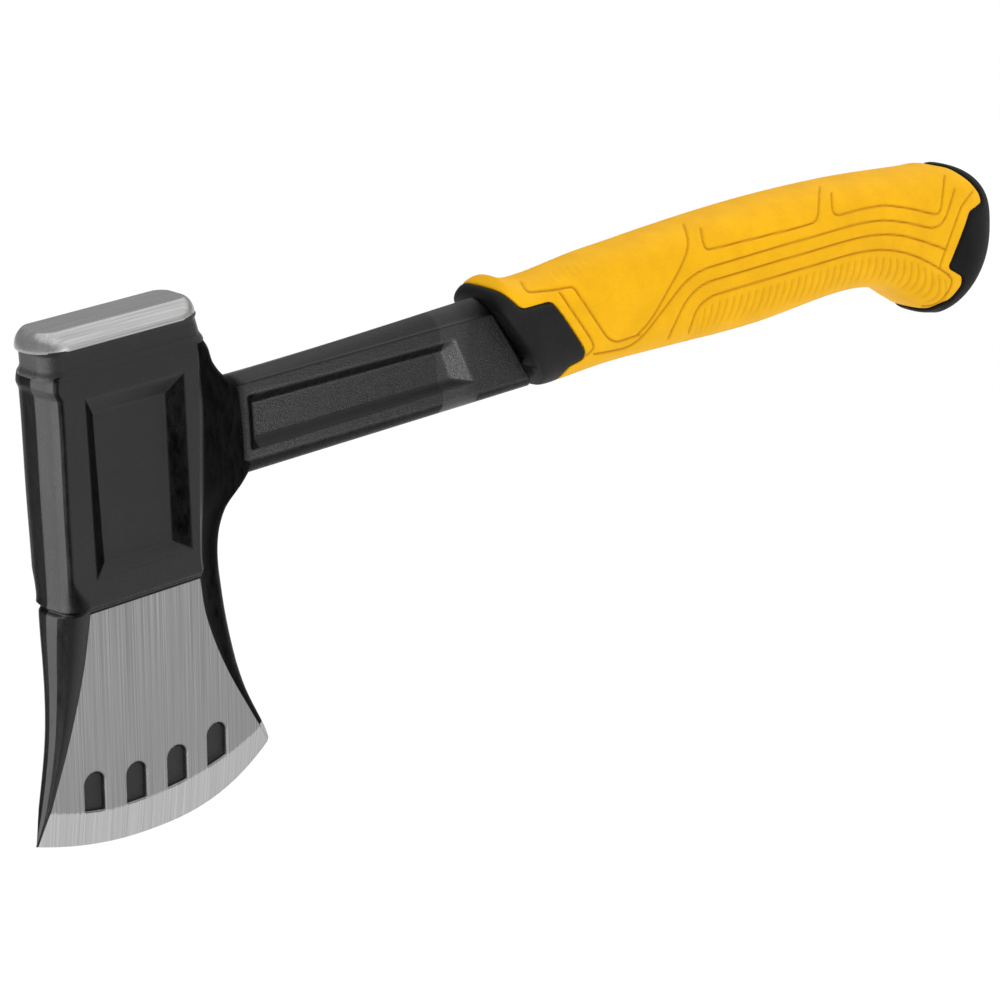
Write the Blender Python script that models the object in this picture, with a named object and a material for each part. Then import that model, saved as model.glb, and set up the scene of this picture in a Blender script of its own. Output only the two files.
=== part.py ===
"""One-piece forged hatchet with an overmoulded grip.

Five solids: the forging (head, shank and hidden tang), the rigid core moulded
round the tang, the front collar, the soft sleeve and the butt cap.

Row frame: origin at the centre of the flat striking face, +Z out of that face,
+X from the head to the butt, Y across the thickness. Sizes are in millimetres
and are scaled to metres when a mesh is made.
"""
import math

import bmesh
import bpy

MM = 0.001
GAP = 0.3                      # clearance between neighbouring solids

# Poll cap: flat striking face, rounded rim and the neck under it
FACE_LENGTH = 42.9
FACE_WIDTH = 11.3
FACE_CORNER = 3.2
CAP_LENGTH = 49.5
CAP_WIDTH = 17.7
CAP_DEPTH = 4.3
NECK_WIDTH = 15.6
NECK_FRONT = -22.6
NECK_REAR = 24.2

# Head block: the cheeks, from the ledge under the neck to the step above the blade
LEDGE_Z = -10.6
NOTCH_Z = -68.4
CHEEK_END_Z = -69.6
STEP_Z = -71.5
CHEEK_HALF_TOP = 8.2
CHEEK_HALF_END = 7.6

# Blade: ground faces, bevel and cutting edge
BLADE_HALF_TOP = 6.9
BLADE_HALF_BEVEL = 2.3
EDGE_HALF = 0.25
BEVEL_MID_Z = -127.0
BEVEL_TOE_Z = -121.3
BEVEL_HEEL_Z = -118.2
EDGE_MID_Z = -137.0
EDGE_TOE_Z = -130.3
EDGE_HEEL_Z = -124.0
EDGE_SWEEP = 2.3               # power of the bow of the cutting edge

# Mid-plane outline of the head as (z, x): front from the ledge to the toe
FRONT_LINE = [(-10.6, -22.2), (-13.9, -22.8), (-16.4, -21.3), (-42.0, -22.0), (-68.0, -23.0),
              (-72.5, -24.5), (-93.0, -25.7), (-106.0, -27.3), (-120.0, -30.5), (-130.3, -33.6)]
# ... and rear from the ledge to the heel, passing into the shank between -25 and -51
REAR_LINE = [(-10.6, 25.4), (-14.5, 28.2), (-19.3, 29.9), (-24.2, 33.8), (-28.0, 40.0),
             (-47.0, 40.0), (-51.5, 37.0), (-57.5, 30.6), (-66.0, 27.6), (-79.0, 27.8),
             (-93.0, 29.7), (-107.0, 33.1), (-120.0, 38.7), (-124.0, 40.2)]
# Rear edge of the flat cheek, then of the ground blade face
CHEEK_REAR = [(-10.6, 21.4), (-26.0, 20.6), (-45.0, 19.1), (-71.5, 17.4), (-82.0, 19.3),
              (-97.0, 25.2), (-115.0, 34.4), (-124.0, 39.6)]
# Front edge of the ground blade face, and half width of the narrow front land beside it
BLADE_FRONT = [(-71.5, -16.2), (-86.0, -19.0), (-104.0, -24.1), (-120.5, -29.8), (-130.3, -33.2)]
LAND_HALF = [(-71.5, 4.6), (-84.0, 3.6), (-100.0, 2.7), (-120.0, 1.9), (-130.3, 0.6)]
# Half thickness of the web behind the cheek
WEB_SHOULDER = 4.4             # from the rear line to where the web is at full thickness
WEB_HALF = [(-10.6, 6.6), (-20.0, 5.5), (-28.0, 5.2), (-47.0, 5.2), (-58.0, 4.8), (-71.5, 4.3)]

# Cheek hollow: corners (x, z) at the cheek and at the floor
CHEEK_HOLLOW = [(-12.6, -17.0), (16.7, -17.6), (15.6, -62.6), (-13.3, -63.0)]
CHEEK_FLOOR = [(-9.4, -22.2), (12.5, -22.2), (11.1, -60.0), (-10.6, -60.0)]
CHEEK_FLOOR_HALF = 5.2

# Four slots that end on the bevel line
SLOT_COUNT = 4
SLOT_FIRST_X = -16.5
SLOT_PITCH = 12.75
SLOT_WIDTH = 6.2
SLOT_HEIGHT = 11.2
SLOT_DEPTH = 0.9

# Shank: crowned top, rounded bottom, hollowed sides, slanted rear end
SHANK_START_X = 31.0
SHANK_HALF = 5.2
SHANK_TOP_Z = -25.1
SHANK_BOTTOM_Z = -51.0
SHANK_SLANT = 0.55             # backward lean of the rear end, mm per mm of drop
SHANK_END_X = 124.7            # on the grip's centre line
SHANK_TOP_EDGE = [(31.0, -26.2), (125.0, -27.8)]
SHANK_LOW_EDGE = [(31.0, -45.6), (131.0, -47.1)]
SHANK_HOLLOW = [(37.3, -29.2), (105.3, -30.6), (111.4, -43.6), (37.5, -43.6)]
SHANK_FLOOR = [(39.6, -31.4), (103.6, -32.7), (107.3, -41.9), (39.8, -41.4)]
SHANK_FLOOR_HALF = 3.1

# Tang, hidden in the grip: waisted, so that the core keys into it
TANG_HALF = 3.0
TANG_END_X = 284.0
TANG_HEIGHT = [(110.0, 17.0), (160.0, 17.0), (176.0, 12.0), (205.0, 12.0), (222.0, 17.0),
               (262.0, 15.0), (284.0, 12.0)]

# Grip: side outline as (x, z) and half width, measured where the slant has faded
GRIP_START_X = 126.0
GRIP_AXIS_Z = -35.0
GRIP_END_X = 319.2
GRIP_END_Z = -41.0             # centre of the rounded butt
BUTT_TOP_X = 290.0             # where the butt starts to round over, above, below and at the sides
BUTT_BOTTOM_X = 295.0
BUTT_SIDE_X = 299.0
BUTT_FULL = 2.0                # power of the rounding, above and at the sides
BUTT_SLOPED = 1.55             # and below, where it is closer to a slope
GRIP_TOP = [(126.0, -18.0), (131.0, -18.3), (140.0, -20.9), (163.0, -18.9), (215.0, -17.0),
            (255.0, -18.0), (290.0, -21.0)]
GRIP_BOTTOM = [(126.0, -51.0), (160.0, -50.2), (215.0, -52.1), (250.0, -50.8), (262.0, -51.9),
               (271.0, -55.2), (280.0, -61.3), (287.0, -65.4), (294.0, -67.0)]
GRIP_HALF = [(126.0, 11.5), (150.0, 11.7), (200.0, 12.6), (255.0, 12.5), (290.0, 13.3)]
GRIP_SLANT = [(126.0, 0.55), (135.0, 0.52), (150.0, 0.34), (170.0, 0.0), (180.0, 0.0)]
GRIP_LIP = 3.6                 # radius of the rounded front lip, above and below
GRIP_LIP_SIDE = 0.35           # its share at the sides
GRIP_SQUARE = 2.7              # power of the superelliptic section
SECTION_POINTS = 28

# Rigid core under the sleeve
CORE_SKIN = 3.2                # thickness of sleeve over the core
CORE_START_X = 134.0
CORE_END_X = 296.0

# Side outline (x, z) of the front collar's rear edge, top to bottom
COLLAR_EDGE = [(115.0, -14.0), (120.4, -20.6), (124.8, -25.9), (136.2, -26.4), (147.0, -42.6),
               (146.4, -45.2), (142.6, -46.4), (141.4, -49.0), (141.0, -56.0)]
# Side outline of the butt cap's front edge, top to bottom
BUTT_EDGE = [(285.0, -14.0), (290.5, -19.6), (300.6, -22.6), (305.6, -27.2), (308.8, -31.4),
             (308.9, -34.2), (302.4, -35.2), (293.9, -50.2), (299.4, -54.0), (299.4, -57.0),
             (294.0, -61.6), (286.5, -63.6), (279.0, -61.6), (273.6, -57.6), (269.0, -62.0)]


def clear_scene():
    for item in list(bpy.data.objects):
        bpy.data.objects.remove(item, do_unlink=True)


def curve(points, at):
    """Smooth curve through (position, value) points, held constant past its ends."""
    rows = sorted(points)
    if at <= rows[0][0]:
        return rows[0][1]
    if at >= rows[-1][0]:
        return rows[-1][1]
    i = max(k for k in range(len(rows) - 1) if rows[k][0] <= at)
    width = rows[i + 1][0] - rows[i][0]
    t = (at - rows[i][0]) / width
    ends = []
    for k in (i, i + 1):
        before = rows[max(k - 1, 0)]
        after = rows[min(k + 1, len(rows) - 1)]
        ends.append((after[1] - before[1]) / (after[0] - before[0]) * width)
    low = rows[i][1]
    high = rows[i + 1][1]
    return (low * (2 * t**3 - 3 * t**2 + 1) + ends[0] * (t**3 - 2 * t**2 + t)
            + high * (3 * t**2 - 2 * t**3) + ends[1] * (t**3 - t**2))


def blend(low, high, t):
    return low + (high - low) * t


def line(points, at):
    """Straight line through two (position, value) points."""
    (a, low), (b, high) = points
    return blend(low, high, (at - a) / (b - a))


def material(name, colour, roughness, metallic):
    made = bpy.data.materials.new(name)
    made.use_nodes = True
    shader = made.node_tree.nodes["Principled BSDF"]
    shader.inputs["Base Color"].default_value = (*colour, 1.0)
    shader.inputs["Roughness"].default_value = roughness
    shader.inputs["Metallic"].default_value = metallic
    return made


def make_object(name, mesh, made_of=None):
    """Close the bmesh into an object, faces pointing out; without a material it is a tool body."""
    bmesh.ops.recalc_face_normals(mesh, faces=mesh.faces)
    bmesh.ops.triangulate(mesh, faces=[f for f in mesh.faces if len(f.verts) > 4])
    data = bpy.data.meshes.new(name)
    mesh.to_mesh(data)
    mesh.free()
    item = bpy.data.objects.new(name, data)
    bpy.context.collection.objects.link(item)
    if made_of is None:
        item.hide_render = True
        item.display_type = "WIRE"
    else:
        data.materials.append(made_of)
    return item


def add_loft(mesh, loops):
    """Skin a row of loops of equal length and close both ends."""
    rings = [[mesh.verts.new([c * MM for c in point]) for point in loop] for loop in loops]
    count = len(rings[0])
    for low, high in zip(rings, rings[1:]):
        for i in range(count):
            j = (i + 1) % count
            mesh.faces.new((low[i], low[j], high[j], high[i]))
    mesh.faces.new(rings[0])
    mesh.faces.new(list(reversed(rings[-1])))


def loft(name, loops, made_of=None):
    mesh = bmesh.new()
    add_loft(mesh, loops)
    return make_object(name, mesh, made_of)


def prism(name, outline, half, made_of=None):
    """Outline (x, z) extruded across the whole thickness."""
    loops = [[(x, y, z) for x, z in outline] for y in (-half, half)]
    return loft(name, loops, made_of)


def boolean(target, operation, tool):
    step = target.modifiers.new(operation.lower(), "BOOLEAN")
    step.operation = operation
    step.solver = "EXACT"
    step.object = tool


# ---------------------------------------------------------------- forging

def rounded_rectangle(front, rear, width, corner, z):
    """Loop of a rectangle with round corners, seven points to a corner."""
    centres = [(rear - corner, width / 2 - corner, 0.0), (front + corner, width / 2 - corner, 90.0),
               (front + corner, corner - width / 2, 180.0), (rear - corner, corner - width / 2, 270.0)]
    loop = []
    for x, y, start in centres:
        for k in range(7):
            angle = math.radians(start + 15.0 * k)
            loop.append((x + corner * math.cos(angle), y + corner * math.sin(angle), z))
    return loop


def poll_cap():
    """Striking face, rounded rim, undercut and neck, down into the head block."""
    loops = []
    for k in range(6):
        turn = math.radians(90.0 * k / 5)
        grow = math.sin(turn)
        length = blend(FACE_LENGTH, CAP_LENGTH, grow)
        width = blend(FACE_WIDTH, CAP_WIDTH, grow)
        corner = blend(FACE_CORNER, CAP_WIDTH / 2 - 0.05, grow)
        z = -CAP_DEPTH * (1 - math.cos(turn))
        loops.append(rounded_rectangle(-length / 2, length / 2, width, corner, z))
    half = CAP_LENGTH / 2
    loops.append(rounded_rectangle(-half + 0.5, half - 0.5, CAP_WIDTH - 1.0, 8.2, -CAP_DEPTH - 0.6))
    for z, rear in ((-CAP_DEPTH - 1.2, NECK_REAR - 1.0), (-8.4, NECK_REAR), (LEDGE_Z - 1.2, NECK_REAR + 0.6)):
        loops.append(rounded_rectangle(NECK_FRONT, rear, NECK_WIDTH, 6.2, z))
    return loft("form_poll_cap", loops)


def mirrored(near):
    """Full loop from the points of its near half, whose ends lie on the mid-plane."""
    far = [(x, -y, z) for x, y, z in reversed(near[1:-1])]
    return near + far


def cheek_columns(front, rear, half):
    """Evenly spaced points across a flat cheek."""
    return [(blend(front, rear, k / 7), -half) for k in range(8)]


def block_row(z, inset=0.0):
    """Loop of the head block at one height."""
    front = curve(FRONT_LINE, z) + inset
    rear = curve(REAR_LINE, z) - inset
    half = line([(LEDGE_Z, CHEEK_HALF_TOP), (CHEEK_END_Z, CHEEK_HALF_END)], z) - inset
    web = curve(WEB_HALF, z)
    flat = cheek_columns(front + 1.1, curve(CHEEK_REAR, z), half)
    near = [(front, 0.0), (front + 0.3, 1.0 - half), *flat, (rear - WEB_SHOULDER, -web), (rear, 0.0)]
    return mirrored([(x, y, z) for x, y in near])


def bowed(x, toe_z, heel_z, mid_z):
    """Height at x of a row that runs from toe_z to heel_z and bows down to mid_z."""
    front = curve(FRONT_LINE, toe_z)
    rear = curve(REAR_LINE, heel_z)
    t = (x - front) / (rear - front)
    bow = 1 - abs(2 * t - 1) ** EDGE_SWEEP
    return blend(toe_z, heel_z, t) + (mid_z - (toe_z + heel_z) / 2) * bow


def blade_row(toe_z, heel_z, mid_z, half):
    """Loop across the blade, bowed down to mid_z between its ends."""
    front = curve(FRONT_LINE, toe_z)
    rear = curve(REAR_LINE, heel_z)
    land = min(curve(LAND_HALF, toe_z), half)
    flat = cheek_columns(curve(BLADE_FRONT, toe_z), curve(CHEEK_REAR, heel_z), half)
    shoulder = (blend(flat[-1][0], rear, 0.72), -0.62 * half)
    near = [(front, 0.0), (front + 0.1, -land), *flat, shoulder, (rear, 0.0)]
    return mirrored([(x, y, bowed(x, toe_z, heel_z, mid_z)) for x, y in near])


def blade_half(v):
    """Half thickness of the ground face, from the step at 0 to the bevel at 1."""
    return blend(BLADE_HALF_TOP, BLADE_HALF_BEVEL, v)


def head_loops():
    loops = [block_row(LEDGE_Z, 0.7), block_row(LEDGE_Z - 0.9)]
    for z in (-12.6, -15.5, -19.5, -24.2, -26.5, -28.0, -38.0, -47.0, -49.5, -51.5, -54.5, -58.0, -63.0, NOTCH_Z):
        loops.append(block_row(z))
    notch = block_row(CHEEK_END_Z)
    narrow = curve(LAND_HALF, STEP_Z)
    side = len(notch) // 2
    notch[1] = (notch[1][0], -narrow, CHEEK_END_Z)
    notch[-1] = (notch[1][0], narrow, CHEEK_END_Z)
    shift = curve(BLADE_FRONT, STEP_Z) - 0.8 - notch[2][0]
    for i in range(2, side - 1):
        keep = 1 - (i - 2) / 7
        x, y, z = notch[i]
        notch[i] = (x + shift * keep, y, z)
        notch[-i] = (x + shift * keep, -y, z)
    loops.append(notch)
    for v in (0.0, 0.16, 0.33, 0.5, 0.67, 0.84, 1.0):
        ends = blend(STEP_Z, BEVEL_TOE_Z, v), blend(STEP_Z, BEVEL_HEEL_Z, v)
        loops.append(blade_row(*ends, blend(STEP_Z, BEVEL_MID_Z, v), blade_half(v)))
    return loops


def head_block():
    """Block and blade in one skin, closed along the cutting edge."""
    mesh = bmesh.new()
    edge = blade_row(EDGE_TOE_Z, EDGE_HEEL_Z, EDGE_MID_Z, EDGE_HALF)
    rings = [[mesh.verts.new([c * MM for c in point]) for point in loop] for loop in head_loops() + [edge]]
    count = len(rings[0])
    for low, high in zip(rings, rings[1:]):
        for i in range(count):
            j = (i + 1) % count
            mesh.faces.new((low[i], low[j], high[j], high[i]))
    mesh.faces.new(rings[0])
    last = rings[-1]
    for i in range(count // 2):
        corners = [last[i], last[i + 1], last[count - i - 1], last[(count - i) % count]]
        mesh.faces.new(list(dict.fromkeys(corners)))
    bmesh.ops.triangulate(mesh, faces=mesh.faces)
    return make_object("forged_head", mesh, material("coated_steel", (0.035, 0.036, 0.038), 0.42, 0.35))


def shank_loop(x, slant):
    """Section of the shank: crowned top, flat sides and a deeper rounded bottom."""
    top_edge = line(SHANK_TOP_EDGE, x)
    low_edge = line(SHANK_LOW_EDGE, x)
    rise = SHANK_TOP_Z - top_edge
    drop = low_edge - SHANK_BOTTOM_Z
    near = [(0.0, SHANK_TOP_Z), (0.5, SHANK_TOP_Z - 0.25 * rise), (0.85, SHANK_TOP_Z - 0.72 * rise),
            (1.0, top_edge - 0.5), (1.0, low_edge), (0.78, low_edge - 0.55 * drop),
            (0.45, low_edge - 0.9 * drop), (0.0, SHANK_BOTTOM_Z)]
    section = [(-SHANK_HALF * y, z) for y, z in near]
    section += [(-y, z) for y, z in reversed(section[1:-1])]
    return [(x - slant * (z - GRIP_AXIS_Z), y, z) for y, z in section]


def shank():
    loops = [shank_loop(x, 0.0) for x in (SHANK_START_X, 60.0, 90.0, 110.0)]
    loops.append(shank_loop(SHANK_END_X, SHANK_SLANT))
    return loft("form_shank", loops)


def tang(name, grow, first_x):
    """Waisted flat tang; grow widens it for the cavity around it."""
    loops = []
    for x in (first_x, 150.0, 160.0, 176.0, 205.0, 222.0, 262.0, TANG_END_X):
        half_z = curve(TANG_HEIGHT, x) / 2 + grow
        half_y = TANG_HALF + grow
        at = x + grow if x == TANG_END_X else x
        corner = 0.8
        ring = [(-half_y, half_z - corner), (corner - half_y, half_z), (half_y - corner, half_z),
                (half_y, half_z - corner), (half_y, corner - half_z), (half_y - corner, -half_z),
                (corner - half_y, -half_z), (-half_y, corner - half_z)]
        loops.append([(at, y, GRIP_AXIS_Z + z) for y, z in ring])
    return loft(name, loops)


def add_hollow(mesh, side, rim, floor, rim_half, floor_half):
    """Tapered cutter whose walls run through the rim and the floor corners."""
    reach = 1.0 + 2.0 / (rim_half - floor_half)
    outer = [(blend(f[0], r[0], reach), side * blend(floor_half, rim_half, reach), blend(f[1], r[1], reach))
             for r, f in zip(rim, floor)]
    inner = [(x, side * floor_half, z) for x, z in floor]
    add_loft(mesh, [outer, inner])


def bevel_z(x):
    """Height of the bevel line at x."""
    return bowed(x, BEVEL_TOE_Z, BEVEL_HEEL_Z, BEVEL_MID_Z)


def add_slot(mesh, side, centre):
    """Arched slot whose floor follows the ground face and whose foot is the bevel line."""
    radius = SLOT_WIDTH / 2
    spring = bevel_z(centre) + SLOT_HEIGHT - radius
    arch = [(centre + radius * math.cos(math.radians(a)), spring + radius * math.sin(math.radians(a)))
            for a in range(0, 181, 30)]
    outline = [*arch, (centre - radius, bevel_z(centre - radius)), (centre + radius, bevel_z(centre + radius))]
    floor = []
    for x, z in outline:
        v = (z - STEP_Z) / (bevel_z(x) - STEP_Z)
        floor.append((x, side * (blade_half(v) - SLOT_DEPTH), z))
    outer = [(x, side * 6.0, z) for x, z in outline]
    add_loft(mesh, [outer, floor])


def hollows():
    """Every hollow of the forging, on both sides, as one cutter."""
    mesh = bmesh.new()
    for side in (-1, 1):
        add_hollow(mesh, side, CHEEK_HOLLOW, CHEEK_FLOOR, CHEEK_HALF_TOP, CHEEK_FLOOR_HALF)
        add_hollow(mesh, side, SHANK_HOLLOW, SHANK_FLOOR, SHANK_HALF, SHANK_FLOOR_HALF)
        for k in range(SLOT_COUNT):
            add_slot(mesh, side, SLOT_FIRST_X + k * SLOT_PITCH)
    return make_object("cut_hollows", mesh)


def forging():
    head = head_block()
    boolean(head, "UNION", poll_cap())
    boolean(head, "UNION", shank())
    boolean(head, "UNION", tang("form_tang", 0.0, 112.0))
    boolean(head, "DIFFERENCE", hollows())


# ------------------------------------------------------------------- grip

def grip_stations():
    """Places of the grip's sections: close together at the lip and at the butt."""
    lip = [GRIP_START_X + GRIP_LIP * 1.25 * (1 - math.cos(math.radians(a))) for a in (0, 30, 60, 90)]
    body = [134.0 + 12.0 * k for k in range(13)]
    butt = [BUTT_TOP_X + (GRIP_END_X - BUTT_TOP_X) * math.sin(math.radians(a))
            for a in (0, 15, 30, 44, 57, 69, 80)]
    return [*lip, *body, *butt]


def rounding(x, start, power):
    """Falls from 1 at start to 0 at the butt."""
    t = max(0.0, (x - start) / (GRIP_END_X - start))
    return (1 - t**power) ** (1 / power)


def grip_size(x):
    """Top, bottom and half width of the grip at x, with the lip and the butt rounded."""
    top = curve(GRIP_TOP, x)
    bottom = curve(GRIP_BOTTOM, x)
    half = curve(GRIP_HALF, x)
    lip = max(0.0, 1 - (x - GRIP_START_X) / GRIP_LIP / 1.25)
    inset = GRIP_LIP * (1 - math.sqrt(max(0.0, 1 - lip**2)))
    top = GRIP_END_Z + (top - GRIP_END_Z) * rounding(x, BUTT_TOP_X, BUTT_FULL)
    bottom = GRIP_END_Z + (bottom - GRIP_END_Z) * rounding(x, BUTT_BOTTOM_X, BUTT_SLOPED)
    half *= rounding(x, BUTT_SIDE_X, BUTT_FULL)
    return top - inset, bottom + inset, half - inset * GRIP_LIP_SIDE


def grip_loop(x, skin=0.0):
    """Superelliptic section of the grip, a skin's thickness under its surface."""
    top, bottom, half = grip_size(x)
    centre = (top + bottom) / 2
    high = (top - bottom) / 2 - skin
    wide = half - skin
    lean = curve(GRIP_SLANT, x)
    loop = []
    for k in range(SECTION_POINTS):
        angle = 2 * math.pi * (k + 0.5) / SECTION_POINTS
        c = math.cos(angle)
        s = math.sin(angle)
        y = wide * math.copysign(abs(c) ** (2 / GRIP_SQUARE), c)
        z = centre + high * math.copysign(abs(s) ** (2 / GRIP_SQUARE), s)
        loop.append((x - lean * (z - GRIP_AXIS_Z), y, z))
    return loop


def grip_body(name, made_of=None):
    return loft(name, [grip_loop(x) for x in grip_stations()], made_of)


def core_body(name, grow, made_of=None):
    """Body of the core, widened by grow for the pocket around it."""
    stations = [CORE_START_X - grow, *[CORE_START_X + 16.0 * k for k in range(1, 10)], CORE_END_X + grow]
    return loft(name, [grip_loop(x, CORE_SKIN - grow) for x in stations], made_of)


def shifted(outline, away):
    """Open outline moved sideways by a distance, to its right as it is walked."""
    moved = []
    for i, (x, z) in enumerate(outline):
        before = outline[max(i - 1, 0)]
        after = outline[min(i + 1, len(outline) - 1)]
        normals = []
        for a, b in ((before, (x, z)), ((x, z), after)):
            run = math.hypot(b[0] - a[0], b[1] - a[1])
            if run > 0:
                normals.append(((b[1] - a[1]) / run, (a[0] - b[0]) / run))
        nx = sum(n[0] for n in normals) / len(normals)
        nz = sum(n[1] for n in normals) / len(normals)
        scale = away / (nx * nx + nz * nz)
        moved.append((x + nx * scale, z + nz * scale))
    return moved


def front_zone(name, away):
    """Everything ahead of the collar's rear edge, which is moved back by away."""
    edge = shifted(COLLAR_EDGE, -away)
    return prism(name, [*edge, (100.0, edge[-1][1]), (100.0, edge[0][1])], 30.0)


def rear_zone(name, away):
    """Everything behind the butt cap's front edge, which is moved forward by away."""
    edge = shifted(BUTT_EDGE, away)
    return prism(name, [*edge, (edge[-1][0], -80.0), (340.0, -80.0), (340.0, edge[0][1])], 30.0)


def grip():
    black = material("black_polymer", (0.028, 0.028, 0.03), 0.6, 0.0)
    cap_black = material("cap_polymer", (0.03, 0.03, 0.032), 0.62, 0.0)
    core_black = material("core_polymer", (0.05, 0.05, 0.055), 0.5, 0.0)
    yellow = material("soft_sleeve", (0.86, 0.48, 0.02), 0.55, 0.0)

    tang_space = tang("cut_tang_space", GAP, 100.0)
    core_space = core_body("cut_core_space", GAP)

    core = core_body("grip_core", 0.0, core_black)
    boolean(core, "DIFFERENCE", tang_space)

    collar = grip_body("front_collar", black)
    boolean(collar, "INTERSECT", front_zone("zone_collar", 0.0))
    boolean(collar, "DIFFERENCE", core_space)
    boolean(collar, "DIFFERENCE", tang_space)

    sleeve = grip_body("grip_sleeve", yellow)
    boolean(sleeve, "DIFFERENCE", front_zone("cut_collar_zone", GAP))
    boolean(sleeve, "DIFFERENCE", rear_zone("cut_butt_zone", GAP))
    boolean(sleeve, "DIFFERENCE", core_space)

    cap = grip_body("butt_cap", cap_black)
    boolean(cap, "INTERSECT", rear_zone("zone_butt", 0.0))
    boolean(cap, "DIFFERENCE", core_space)


clear_scene()
forging()
grip()
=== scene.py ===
"""Looks of a one-piece forged hatchet with an overmoulded grip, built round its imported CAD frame.

Lengths are in millimetres in the CAD's own frame (origin at the centre of the striking face,
+Z out of it, +X to the butt, Y across the thickness) and become metres when a mesh is made.
"""
import math

import bmesh
import bpy
import numpy as np
from mathutils import Matrix, Vector


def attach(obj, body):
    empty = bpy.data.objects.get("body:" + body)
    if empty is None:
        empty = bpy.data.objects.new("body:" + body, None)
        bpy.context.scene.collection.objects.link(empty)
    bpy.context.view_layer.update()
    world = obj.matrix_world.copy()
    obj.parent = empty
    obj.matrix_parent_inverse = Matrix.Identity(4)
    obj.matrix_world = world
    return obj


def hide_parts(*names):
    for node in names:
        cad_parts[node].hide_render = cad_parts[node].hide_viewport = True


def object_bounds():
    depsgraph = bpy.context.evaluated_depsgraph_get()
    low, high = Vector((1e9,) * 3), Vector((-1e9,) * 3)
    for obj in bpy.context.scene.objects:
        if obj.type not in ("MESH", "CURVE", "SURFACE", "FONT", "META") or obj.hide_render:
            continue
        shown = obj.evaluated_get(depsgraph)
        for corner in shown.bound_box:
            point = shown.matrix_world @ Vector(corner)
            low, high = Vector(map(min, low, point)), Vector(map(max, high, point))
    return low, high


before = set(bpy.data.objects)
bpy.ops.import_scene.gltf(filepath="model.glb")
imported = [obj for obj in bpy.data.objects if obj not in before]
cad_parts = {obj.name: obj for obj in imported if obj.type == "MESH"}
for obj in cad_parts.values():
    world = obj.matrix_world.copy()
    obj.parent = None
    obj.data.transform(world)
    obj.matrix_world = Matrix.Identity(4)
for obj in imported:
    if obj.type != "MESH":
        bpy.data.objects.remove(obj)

CAD_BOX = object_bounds()
MM = 0.001

# ---- dimensions

# Poll
FACE_LENGTH = 42.9
FACE_WIDTH = 11.3
FACE_CORNER = 3.2
CAP_LENGTH = 49.5
CAP_WIDTH = 17.7
# Profile of the poll's rim: (share of the way out, height)
CAP_RIM = [(0.0, 0.0), (0.06, -0.05), (0.38, -0.72), (0.68, -1.65), (0.88, -2.7), (0.985, -3.7),
           (1.0, -4.25), (0.93, -4.62), (0.8, -4.74), (0.35, -4.8)]
NECK_FRONT = -22.6
NECK_REAR = [(-4.3, 23.2), (-8.4, 24.2), (-11.5, 24.8)]
NECK_WIDTH = 16.2
NECK_CORNER = 5.4

# Head block and blade
LEDGE_Z = -10.3
LEDGE_INSET = 3.5  # how far the ledge runs in under the neck
LEDGE_RADIUS = 1.1
NOTCH_Z = -70.6
SPREAD_Z = -61.0  # where the chamfer beside the ground face starts to open
CHEEK_END_Z = -69.6
STEP_Z = -71.5
CHEEK_HALF = [(-10.3, 8.7), (-18.0, 9.2), (-69.6, 8.6)]
BLADE_HALF_TOP = 6.9
BLADE_HALF_BEVEL = 2.3
EDGE_HALF = 0.12
BEVEL_LINE = (-121.3, -118.2, -127.0)  # heights at the toe, at the heel and midway
EDGE_LINE = (-130.3, -125.0, -137.0)
EDGE_SWEEP = 2.3
EDGE_SKEW = 11.0  # lifts the toe half of the curve and drops the heel half
FRONT_LINE = [(-10.3, -22.2), (-13.9, -22.8), (-16.4, -22.0), (-42.0, -22.8), (-68.0, -23.6),
              (-72.5, -24.5), (-93.0, -25.7), (-106.0, -27.3), (-120.0, -30.5), (-130.3, -33.6)]
REAR_LINE = [(-10.3, 25.4), (-14.5, 28.2), (-19.3, 29.9), (-24.2, 33.8), (-28.0, 40.0),
             (-47.0, 40.0), (-51.5, 37.0), (-57.5, 30.6), (-66.0, 27.6), (-79.0, 27.8),
             (-93.0, 29.7), (-107.0, 33.1), (-120.0, 38.7), (-124.0, 40.2)]
CHEEK_REAR = [(-10.3, 20.6), (-26.0, 19.6), (-45.0, 18.1), (-66.0, 16.8), (-71.5, 17.4), (-82.0, 19.3),
              (-97.0, 25.2), (-115.0, 34.4), (-124.0, 39.6)]
BLADE_FRONT = [(-71.5, -16.2), (-86.0, -19.0), (-104.0, -24.1), (-120.5, -29.8), (-130.3, -33.2)]
LAND_HALF = [(-71.5, 4.6), (-84.0, 3.6), (-100.0, 2.7), (-120.0, 1.9), (-130.3, 0.6)]
WEB_HALF = [(-10.3, 6.4), (-20.0, 5.3), (-28.0, 5.0), (-47.0, 5.0), (-58.0, 4.6), (-71.5, 4.1)]
WEB_SHOULDER = 4.4

# Cheek hollow: rim and floor
HOLLOW_TOP_Z = -17.3
HOLLOW_BOTTOM_Z = -62.8
HOLLOW_FLOOR_TOP_Z = -22.2
HOLLOW_FLOOR_BOTTOM_Z = -60.0
HOLLOW_LEFT = [(-17.3, -13.7), (-62.8, -14.4)]
HOLLOW_RIGHT = [(-17.3, 15.6), (-62.8, 14.5)]
HOLLOW_FLOOR_LEFT = [(-22.2, -10.1), (-60.0, -10.3)]
HOLLOW_FLOOR_RIGHT = [(-22.2, 11.4), (-60.0, 10.0)]
HOLLOW_FLOOR_HALF = 6.2

# Slots above the bevel
SLOT_COUNT = 4
SLOT_FIRST_X = -16.5
SLOT_PITCH = 12.75
SLOT_WIDTH = 6.2
SLOT_HEIGHT = 11.0
SLOT_DEPTH = 1.2

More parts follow.
